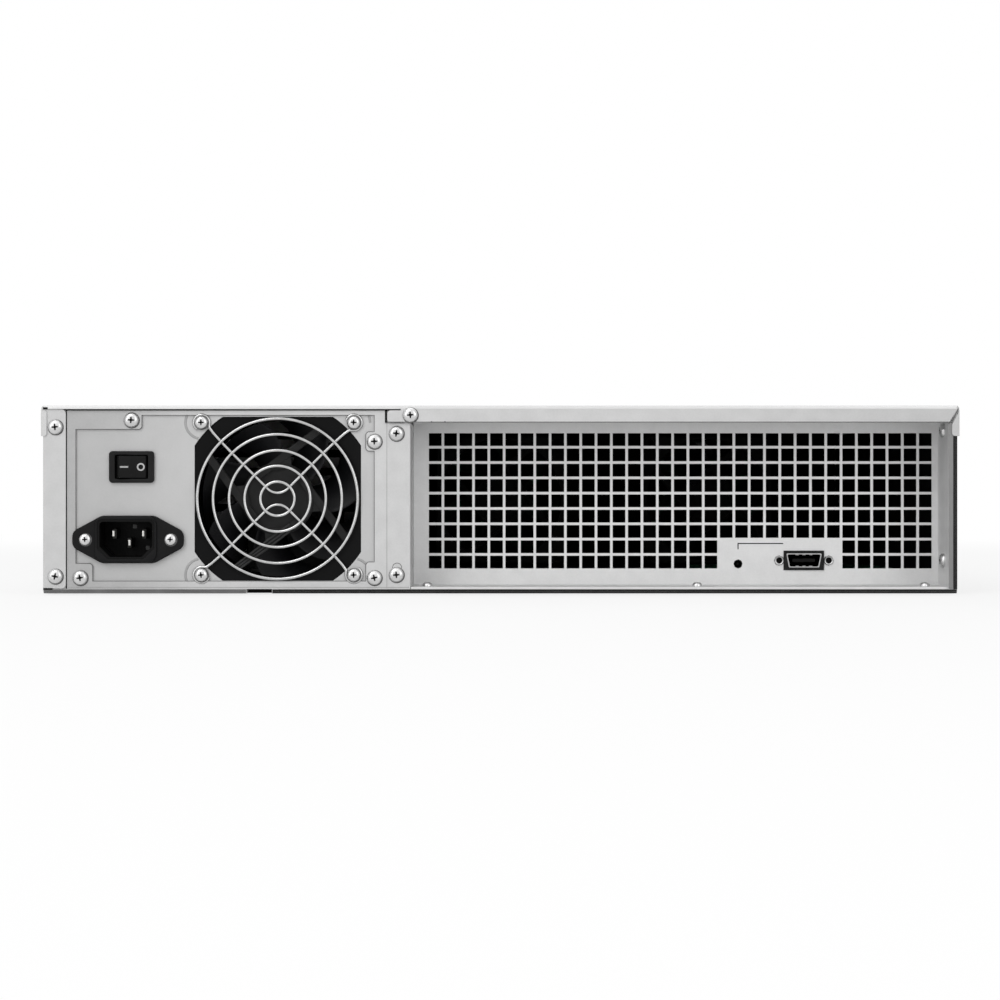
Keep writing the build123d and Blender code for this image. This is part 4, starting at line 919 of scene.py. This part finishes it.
tongue_low, tongue_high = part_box("expansion_tongue")
tongue_line = rounded(box_outline(tongue_high.x - tongue_low.x, tongue_high.z - tongue_low.z), 0.3 * MM, 3)
tongue_mesh = curve_mesh([tongue_line], thickness=tongue_high.y - tongue_low.y, round_r=0.25 * MM)
contact = curve_mesh([box_outline(0.45 * MM, 0.12 * MM)], thickness=5.0 * MM, round_r=0.03 * MM)
tongue_plane = rear_plane(Vector((centre("expansion_tongue").x, tongue_low.y, centre("expansion_tongue").z)))
tongue_parts = [(tongue_mesh, tongue_plane, 0)]
for side in (-1, 1):
    for i in range(13):
        place = Matrix.Translation(((i - 6) * 0.8 * MM, side * (tongue_high.z - tongue_low.z) / 2, 2 * MM))
        tongue_parts.append((contact, tongue_plane @ place, 1))
tongue = piece_from("port_tongue", tongue_parts, "chassis", [tongue_shade, contact_shade])
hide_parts("expansion_tongue")


def threaded_post(length):
    """A turned post with a chamfered mouth and a threaded bore, dark as painted shade."""
    mouth = (1.5 * MM, length - 0.1 * MM)
    shell = lathe([(2.3 * MM, 0), (2.3 * MM, length - 0.5 * MM), (1.95 * MM, length), mouth], 32)
    thread = [mouth]
    crests = 7
    for i in range(crests):
        z = length - 0.4 * MM - i * 0.7 * MM
        thread += [(1.22 * MM, z), (1.42 * MM, z - 0.35 * MM)]
    thread.append((0, length - 0.4 * MM - crests * 0.7 * MM))
    return shell, lathe(thread, 32)


post_parts = []
for low, high in islands("jack_posts"):
    post_plane = rear_plane(Vector(((low.x + high.x) / 2, low.y, (low.z + high.z) / 2)))
    for index, mesh in enumerate(threaded_post(high.y - low.y)):
        post_parts.append((mesh, post_plane, index))
posts = piece_from("port_posts", post_parts, "chassis", [shell_metal, bore_shade])
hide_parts("jack_posts")

light_low, light_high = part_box("link_light")
light_len = light_high.y - light_low.y
light_r = (light_high.x - light_low.x) / 2
light_plane = rear_plane(Vector((centre("link_light").x, light_low.y, centre("link_light").z)))
RIM_OUT = 0.15 * MM
rim_z = PANEL_Y + RIM_OUT - light_low.y
tip_z = rim_z - 2.2 * MM
dome = [(0, 0), (light_r, 0), (light_r, rim_z), (light_r * 0.92, rim_z), (light_r * 0.9, rim_z - 3.6 * MM)]
dome += [(light_r * 0.9 * math.cos(math.radians(a)), tip_z - light_r * 0.7 * (1 - math.sin(math.radians(a))))
         for a in (0, 20, 40, 60, 75)]
dome.append((0, tip_z))
light = piece_from("port_light", [(lathe(dome, 32), light_plane, 0)], "chassis", [lens])
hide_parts("link_light")

LINE_W = 0.5 * MM
LINE_RISE = (7.1 * MM, 9.9 * MM)
LINE_RUN = 21.8 * MM
line_plane = rear_plane(Vector((centre("link_light").x, PANEL_Y, centre("link_light").z)))
corner = [(-LINE_W / 2, LINE_RISE[0]), (LINE_W / 2, LINE_RISE[0]), (LINE_W / 2, LINE_RISE[1] - LINE_W / 2),
          (LINE_RUN, LINE_RISE[1] - LINE_W / 2), (LINE_RUN, LINE_RISE[1] + LINE_W / 2),
          (-LINE_W / 2, LINE_RISE[1] + LINE_W / 2)]
leader = curve_mesh([corner], thickness=0.06 * MM, round_r=0.01 * MM, steps=1)
piece_from("leader_line", [(leader, line_plane, 0)], "chassis", [ink])


# Rear edges of the tub: folded hems, seen end on, as strips coloured dark and grey as painted reflection, with a grey
# strip of painted shade over the side flange's end

HEM = 2.0 * MM
HEM_PROUD = 0.25 * MM
HEM_TOP = 73.8 * MM
notch_left, notch_right = -119.0 * MM, -107.0 * MM


def hem_strip(name, line, mat):
    mesh = curve_mesh([line], thickness=HEM_PROUD, round_r=0.08 * MM, steps=2)
    return piece_from(name, [(mesh, rear_plane(Vector((0, REAR, 0))), 0)], "chassis", [mat])


for name, low, high in (("hem_floor_outer", 0.05 * MM, 0.98 * MM), ("hem_floor_inner", 1.02 * MM, 1.9 * MM)):
    line = [(notch_right + 0.2 * MM, low), (WALL - 0.3 * MM, low), (WALL - 0.3 * MM, high),
            (notch_right + 0.2 * MM, high)]
    hem_strip(name, line, hem_dark_reflection)
    line = [(-WALL + 0.3 * MM, low), (notch_left - 0.2 * MM, low), (notch_left - 0.2 * MM, high),
            (-WALL + 0.3 * MM, high)]
    hem_strip(name + "_left", line, hem_grey_reflection)
for name, low, high in (("hem_wall_outer", 0.08 * MM, 0.98 * MM), ("hem_wall_inner", 1.02 * MM, 1.92 * MM)):
    line = [(WALL - high, 2.0 * MM), (WALL - low, 2.0 * MM), (WALL - low, HEM_TOP), (WALL - high, HEM_TOP)]
    hem_strip(name, line, hem_dark_reflection)
SIDE_END = (-WALL + 2.0 * MM, -WALL + 4.0 * MM)
line = [(-SIDE_END[1], 2.2 * MM), (-SIDE_END[0], 2.2 * MM), (-SIDE_END[0], 80.0 * MM), (-SIDE_END[1], 80.0 * MM)]
hem_strip("hem_side_flange", line, wall_shade)


# Painted shadow: black strips in the gaps, corner relief, slot, nicks and notch between the sheets, and a painted
# highlight on the cover's bend

def face_strip(line, y, depth):
    """A flat strip with its outline in (u, z) and its outer face at y."""
    mesh = curve_mesh([line], thickness=depth, round_r=0.02 * MM, steps=1)
    return (mesh, rear_plane(Vector((0, y - depth, 0))), 0)


def span(left, right, low, high):
    return [(left, low), (right, low), (right, high), (left, high)]


SHEET = 1.0 * MM
FRAME_Y = REAR - SHEET
FLANGE_RIGHT = -WALL + 10.6 * MM
FRAME_TOP = 85.8 * MM
COVER_EDGE = 86.4 * MM
SLIT_U = -46.7 * MM
LIP_LOW = 80.2 * MM
LIP_NICKS = (-32.1 * MM, -25.9 * MM)
LIP_SLOT = (-54.1 * MM, -53.2 * MM)
CORNER_CUT = (86.35 * MM, 87.3 * MM)
cover_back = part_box("top_cover")[1].y
cover_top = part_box("top_cover")[1].z
BEND_H = 1.5 * MM
gaps = [face_strip(span(FLANGE_RIGHT - 0.1 * MM, FLANGE_RIGHT + 0.42 * MM, 2.2 * MM, FRAME_TOP), FRAME_Y + 0.06 * MM,
                   0.3 * MM),
        face_strip(span(FLANGE_RIGHT, SLIT_U, FRAME_TOP, COVER_EDGE), REAR - 0.3 * MM, 0.6 * MM),
        face_strip(span(-WALL + 0.1 * MM, -WALL + 2.3 * MM, *CORNER_CUT), cover_back + 0.12 * MM, 0.3 * MM),
        face_strip(span(-WALL + 0.1 * MM, -WALL + 4.4 * MM, 1.7 * MM, 2.5 * MM), REAR + 0.3 * MM, 0.5 * MM),
        face_strip(span(*LIP_SLOT, LIP_LOW, FRAME_TOP), FRAME_Y + 0.06 * MM, 0.3 * MM),
        face_strip(span(notch_left, notch_right, 0.02 * MM, 2.0 * MM), REAR - 7.6 * MM, 0.35 * MM)]
for u in LIP_NICKS:
    gaps.append(face_strip(span(u - 0.25 * MM, u + 0.25 * MM, LIP_LOW - 0.1 * MM, LIP_LOW + 0.5 * MM),
                           cover_back + 0.06 * MM, 0.3 * MM))
piece_from("gap_strips", gaps, "chassis", [painted_shadow_black])
# Painted highlight: a bright strip along the cover's rear bend
bend = face_strip(span(-WALL + 0.2 * MM, WALL - 0.4 * MM, cover_top - BEND_H, cover_top - 0.1 * MM),
                  cover_back + 0.08 * MM, 0.2 * MM)
piece_from("cover_bend_painted_highlight", [bend], "chassis", [bend_highlight])


# Painted shade: dark lines round the frame panel's openings and round the keyhole above the lower bar screw, which is
# drawn as a line only, grey lines on the panel's bends, and dark lines along the lip's lower edge and its mitre

EDGE_R = 0.19 * MM


def opening_loops(node, y, margin):
    """Closed edge lines of a plate's face at y that lie inside its outline by at least margin."""
    bm = bmesh.new()
    bm.from_mesh(nodes[node].data)
    bmesh.ops.remove_doubles(bm, verts=bm.verts, dist=1e-6)
    rim = []
    for edge in bm.edges:
        flat = [abs(face.normal.y) > 0.9 for face in edge.link_faces]
        if all(abs(v.co.y - y) < 1e-5 for v in edge.verts) and flat.count(True) == 1:
            rim.append(edge)
    low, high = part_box(node)
    loops = []
    while rim:
        edge = rim.pop(0)
        first, last = edge.verts
        line = [first.co.copy(), last.co.copy()]
        while last is not first:
            step = next((e for e in last.link_edges if e in rim), None)
            if step is None:
                break
            rim.remove(step)
            last = step.other_vert(last)
            line.append(last.co.copy())
        if last is first and low.x + margin < min(v.x for v in line) and max(v.x for v in line) < high.x - margin:
            loops.append(line[:-1])
    bm.free()
    return loops


HOLE_MORE = 0.18 * MM     # how far each side of a grille hole moves out
HOLE_MOST = 8.0 * MM      # the port's openings are wider than this
grille_mid = centre("grille_panel")
grille_face = max(v.co.y for v in nodes["grille_panel"].data.vertices if abs(v.co.x - grille_mid.x) < 0.1
                  and abs(v.co.z - grille_mid.z) < 15 * MM)
opened = {}
for loop in opening_loops("grille_panel", grille_face, 3.0 * MM):
    mid = sum(loop, Vector()) / len(loop)
    if max((v - mid).length for v in loop) < HOLE_MOST:
        for v in loop:
            key = (round(v.x / MM, 1), round(v.z / MM, 1))
            opened[key] = Vector((math.copysign(HOLE_MORE, v.x - mid.x), 0, math.copysign(HOLE_MORE, v.z - mid.z)))
bm = bmesh.new()
bm.from_mesh(nodes["grille_panel"].data)
for v in bm.verts:
    v.co += opened.get((round(v.co.x / MM, 1), round(v.co.z / MM, 1)), Vector())
grille = finish_mesh("grille_sheet", bm, [grille_zinc_painted_light], "chassis")
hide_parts("grille_panel")

world_lines = Matrix.Identity(4)
edge_parts = []
for loop in opening_loops("rear_frame_panel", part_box("rear_frame_panel")[1].y, 3.0 * MM):
    line = [(v.x, v.y - 0.1 * MM, v.z) for v in loop]
    edge_parts.append((curve_mesh([line], flat=False, round_r=EDGE_R, steps=2), world_lines, 0))
BAR_SCREW = (-48.4 * MM, 8.7 * MM)
KEYHOLE_R = 2.1 * MM
KEYHOLE_RISE = 3.4 * MM
face_plane = rear_plane(Vector((0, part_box("rear_frame_panel")[1].y - 0.1 * MM, 0)))
keyhole = arc_points((BAR_SCREW[0], BAR_SCREW[1] + KEYHOLE_RISE), KEYHOLE_R, -10, 190, 24)
edge_parts.append((curve_mesh([[(*point, 0) for point in keyhole]], flat=False, round_r=EDGE_R, steps=2, closed=False),
                   face_plane, 0))
BEND_U = -53.2 * MM
FOOT_Z = 2.8 * MM
LINE_HALF = 0.14 * MM
edge_parts.append((*face_strip(span(BEND_U - LINE_HALF, BEND_U + LINE_HALF, FOOT_Z, LIP_LOW), FRAME_Y + 0.05 * MM,
                               0.2 * MM)[:2], 1))
edge_parts.append((*face_strip(span(FLANGE_RIGHT + 1.0 * MM, SLIT_U + 4.0 * MM, FOOT_Z - LINE_HALF, FOOT_Z + LINE_HALF),
                               FRAME_Y + 0.05 * MM, 0.2 * MM)[:2], 1))
lip_right = (211.6 * MM, LIP_LOW)
edge_parts.append(face_strip(span(LIP_SLOT[1], lip_right[0], LIP_LOW - 0.1 * MM, LIP_LOW + 0.32 * MM),
                             cover_back + 0.05 * MM, 0.2 * MM))
mitre = [(lip_right[0] - 0.2 * MM, LIP_LOW + 0.2 * MM), (lip_right[0] + 0.25 * MM, LIP_LOW),
         (WALL + 0.55 * MM, cover_top - BEND_H), (WALL + 0.1 * MM, cover_top - BEND_H + 0.2 * MM)]
edge_parts.append(face_strip(mitre, cover_back + 0.1 * MM, 0.2 * MM))
piece_from("opening_edge_shade", edge_parts, "chassis", [edge_shade, line_shade])


# Grey arcs of painted shade round the guard's screws, where the supply's rear wall has pressed dents; they are drawn as
# wires, not pressed in

DENT_R = 7.6 * MM
DENT_WIRE = 0.8 * MM
WINDOW_W, WINDOW_H, WINDOW_R = 39.1 * MM, 38.5 * MM, 46.4 * MM
wall_plane = rear_plane(Vector((fan_axis.x, INLET_SEAT - 0.5 * MM, fan_axis.z)))


def on_the_wall(x, y, margin):
    outside = abs(x) > WINDOW_W + margin or abs(y) > WINDOW_H + margin or math.hypot(x, y) > WINDOW_R + margin
    return outside and abs(y) < WINDOW_H + 0.9 * MM


parts = []
for side_x in (-1, 1):
    for side_y in (-1, 1):
        mid = (side_x * SCREW_OFFSET, side_y * SCREW_OFFSET)
        run = []
        for point in arc_points(mid, DENT_R, 0, 720, 240):
            if on_the_wall(point[0], point[1], 0.3 * MM):
                run.append((point[0], point[1], 0))
            else:
                if len(run) > 6:
                    break
                run = []
        parts.append((curve_mesh([run], flat=False, round_r=DENT_WIRE, steps=3, closed=False), wall_plane, 0))
piece_from("dent_shade_arcs", parts, "chassis", [line_shade])


# A black sheet inside the right wall, as painted shade on the chassis' inside

FILM_T = 0.25 * MM
grille_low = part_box("grille_panel")[0]
wall_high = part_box("fan_wall")[1]
film_run = grille_low.y - wall_high.y - 4.0 * MM
film_rise = wall_high.z - wall_high.z * 0.08
film = curve_mesh([rounded(box_outline(film_run, film_rise), 3.0 * MM)], thickness=FILM_T, round_r=0.1 * MM, steps=2)
film_mid = Vector((-WALL + 1.1 * MM, (grille_low.y + wall_high.y) / 2, wall_high.z / 2 + 1.0 * MM))
piece_from("side_shade_sheet", [(film, facing(film_mid, (1, 0, 0)), 0)], "chassis", [painted_shadow_black])


# Foam filters behind the levers, with a release button and two light pipes beside each lever

FILTER_T = 2.0 * MM
BUTTON = (5.6 * MM, 13.0 * MM)
BUTTON_OUT = 0.9 * MM
PIPE_R = 0.9 * MM
PIPE_OUT = 0.35 * MM
button = curve_mesh([rounded(box_outline(*BUTTON), 1.2 * MM, 5)], thickness=BUTTON_OUT, round_r=0.35 * MM, steps=4)
rib = curve_mesh([rounded(box_outline(3.6 * MM, 0.6 * MM), 0.25 * MM, 3)], thickness=0.35 * MM, round_r=0.12 * MM)
pipe = lathe([(0, 0), (PIPE_R, 0), (PIPE_R, PIPE_OUT * 0.6), (PIPE_R * 0.7, PIPE_OUT), (0, PIPE_OUT)], 24)
for number in range(1, 13):
    low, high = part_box(f"lever_{number:02d}")
    size = Vector((high.x - low.x - 3.4 * MM, 0, high.z - low.z - 1.2 * MM))
    pad = curve_mesh([rounded(box_outline(size.x, size.z), 1.0 * MM, 3)], thickness=FILTER_T, round_r=0.4 * MM, steps=3)
    place = Vector(((low.x + high.x) / 2 + 2.0 * MM, tub_low.y - 0.6 * MM, (low.z + high.z) / 2))
    parts = [(pad, front_plane(place), 0)]
    face = front_plane(Vector(((high.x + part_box(f"tray_{number:02d}")[1].x) / 2, low.y, (low.z + high.z) / 2)))
    parts.append((button, face @ Matrix.Translation((0, -2.4 * MM, 0)), 1))
    for i in (-1, 0, 1):
        parts.append((rib, face @ Matrix.Translation((0, (i * 1.7 - 2.4) * MM, BUTTON_OUT - 0.1 * MM)), 1))
    for side in (-1, 1):
        parts.append((pipe, face @ Matrix.Translation((side * 2.2 * MM, 8.2 * MM, 0)), 2))
    piece_from(f"tray_trim_{number:02d}", parts, f"tray_{number:02d}", [foam, button_grey, pipe_clear])


# Stage, light and camera

SHADOW_REACH = 0.55


def floor_and_backdrop():
    """White floor for the camera and for reflections; near the shelf it keeps the shadow."""
    m, tree, shader = material("pale_floor")
    tree.nodes.remove(shader)
    out = tree.nodes["Material Output"]
    diffuse = tree.nodes.new("ShaderNodeBsdfDiffuse")
    diffuse.inputs["Color"].default_value = (0.86, 0.86, 0.86, 1)
    white = tree.nodes.new("ShaderNodeEmission")
    white.inputs["Color"].default_value = (1, 1, 1, 1)
    white.inputs["Strength"].default_value = 1.0
    path = tree.nodes.new("ShaderNodeLightPath")
    seen = tree.nodes.new("ShaderNodeMath")
    seen.operation = "MAXIMUM"
    tree.links.new(path.outputs["Is Camera Ray"], seen.inputs[0])
    tree.links.new(path.outputs["Is Glossy Ray"], seen.inputs[1])
    also = tree.nodes.new("ShaderNodeMath")
    also.operation = "MAXIMUM"
    tree.links.new(seen.outputs[0], also.inputs[0])
    tree.links.new(path.outputs["Is Transmission Ray"], also.inputs[1])
    place = tree.nodes.new("ShaderNodeTexCoord")
    distance = tree.nodes.new("ShaderNodeVectorMath")
    distance.operation = "LENGTH"
    tree.links.new(place.outputs["Object"], distance.inputs[0])
    fade = tree.nodes.new("ShaderNodeMapRange")
    fade.interpolation_type = "SMOOTHSTEP"
    fade.inputs["From Min"].default_value = SHADOW_REACH
    fade.inputs["From Max"].default_value = 3 * SHADOW_REACH
    fade.inputs["To Min"].default_value = 0.72
    fade.inputs["To Max"].default_value = 1.0
    tree.links.new(distance.outputs["Value"], fade.inputs["Value"])
    share = tree.nodes.new("ShaderNodeMath")
    share.operation = "MULTIPLY"
    tree.links.new(also.outputs[0], share.inputs[0])
    tree.links.new(fade.outputs["Result"], share.inputs[1])
    mix = tree.nodes.new("ShaderNodeMixShader")
    tree.links.new(share.outputs[0], mix.inputs["Fac"])
    tree.links.new(diffuse.outputs[0], mix.inputs[1])
    tree.links.new(white.outputs[0], mix.inputs[2])
    tree.links.new(mix.outputs[0], out.inputs["Surface"])
    bm = bmesh.new()
    half = 12.0
    corners = [bm.verts.new((x, y, 0)) for x, y in ((-half, -half), (half, -half), (half, half), (-half, half))]
    bm.faces.new(corners)
    mesh = bpy.data.meshes.new("floor")
    bm.to_mesh(mesh)
    bm.free()
    mesh.materials.append(m)
    floor = bpy.data.objects.new("floor", mesh)
    floor.location = (0, 0, -0.0005)
    bpy.context.scene.collection.objects.link(floor)


def area_light(name, place, target, size, power):
    data = bpy.data.lights.new(name, "AREA")
    data.shape = "RECTANGLE"
    data.size, data.size_y = size
    data.energy = power
    lamp = bpy.data.objects.new(name, data)
    lamp.location = place
    lamp.rotation_euler = (Vector(target) - Vector(place)).to_track_quat("-Z", "Y").to_euler()
    bpy.context.scene.collection.objects.link(lamp)


floor_and_backdrop()

world = bpy.data.worlds.new("studio")
bpy.context.scene.world = world
world.use_nodes = True
tree = world.node_tree
background = tree.nodes["Background"]
background.inputs["Color"].default_value = (1, 1, 1, 1)
path = tree.nodes.new("ShaderNodeLightPath")
level = tree.nodes.new("ShaderNodeMapRange")
level.inputs["To Min"].default_value = 0.6
level.inputs["To Max"].default_value = 1.0
seen = tree.nodes.new("ShaderNodeMath")
seen.operation = "MAXIMUM"
tree.links.new(path.outputs["Is Camera Ray"], seen.inputs[0])
tree.links.new(path.outputs["Is Glossy Ray"], seen.inputs[1])
also = tree.nodes.new("ShaderNodeMath")
also.operation = "MAXIMUM"
tree.links.new(seen.outputs[0], also.inputs[0])
tree.links.new(path.outputs["Is Transmission Ray"], also.inputs[1])
tree.links.new(also.outputs[0], level.inputs["Value"])
tree.links.new(level.outputs["Result"], background.inputs["Strength"])

area_light("key", (0.9, REAR + 1.7, 1.6), (0, REAR, 0.04), (1.2, 0.9), 14)
area_light("fill", (-1.1, REAR + 1.6, 1.0), (0, REAR, 0.04), (1.4, 1.2), 3)
area_light("rear_left", (1.5, REAR + 2.2, 0.5), (0, REAR, 0.04), (1.0, 0.8), 5)
area_light("rear_right", (-1.5, REAR + 2.2, 0.5), (0, REAR, 0.04), (1.0, 0.8), 5)
area_light("top", (0, 0.2, 2.2), (0, 0, 0), (2.0, 2.0), 9)
area_light("front", (0.6, -2.2, 1.3), (0, -0.33, 0.04), (1.6, 1.2), 12)

camera_data = bpy.data.cameras.new("camera")
camera_data.sensor_width = SENSOR
camera_data.lens = SENSOR * CAMERA_BACK / PICTURE_WIDTH
camera_data.clip_start = 0.05
camera_data.clip_end = 30
camera = bpy.data.objects.new("camera", camera_data)
camera.location = (CAMERA_X, REAR + CAMERA_BACK, CAMERA_Z)
camera.rotation_euler = (math.pi / 2, 0, math.pi)
bpy.context.scene.collection.objects.link(camera)
bpy.context.scene.camera = camera

bpy.context.scene.view_settings.view_transform = "Standard"
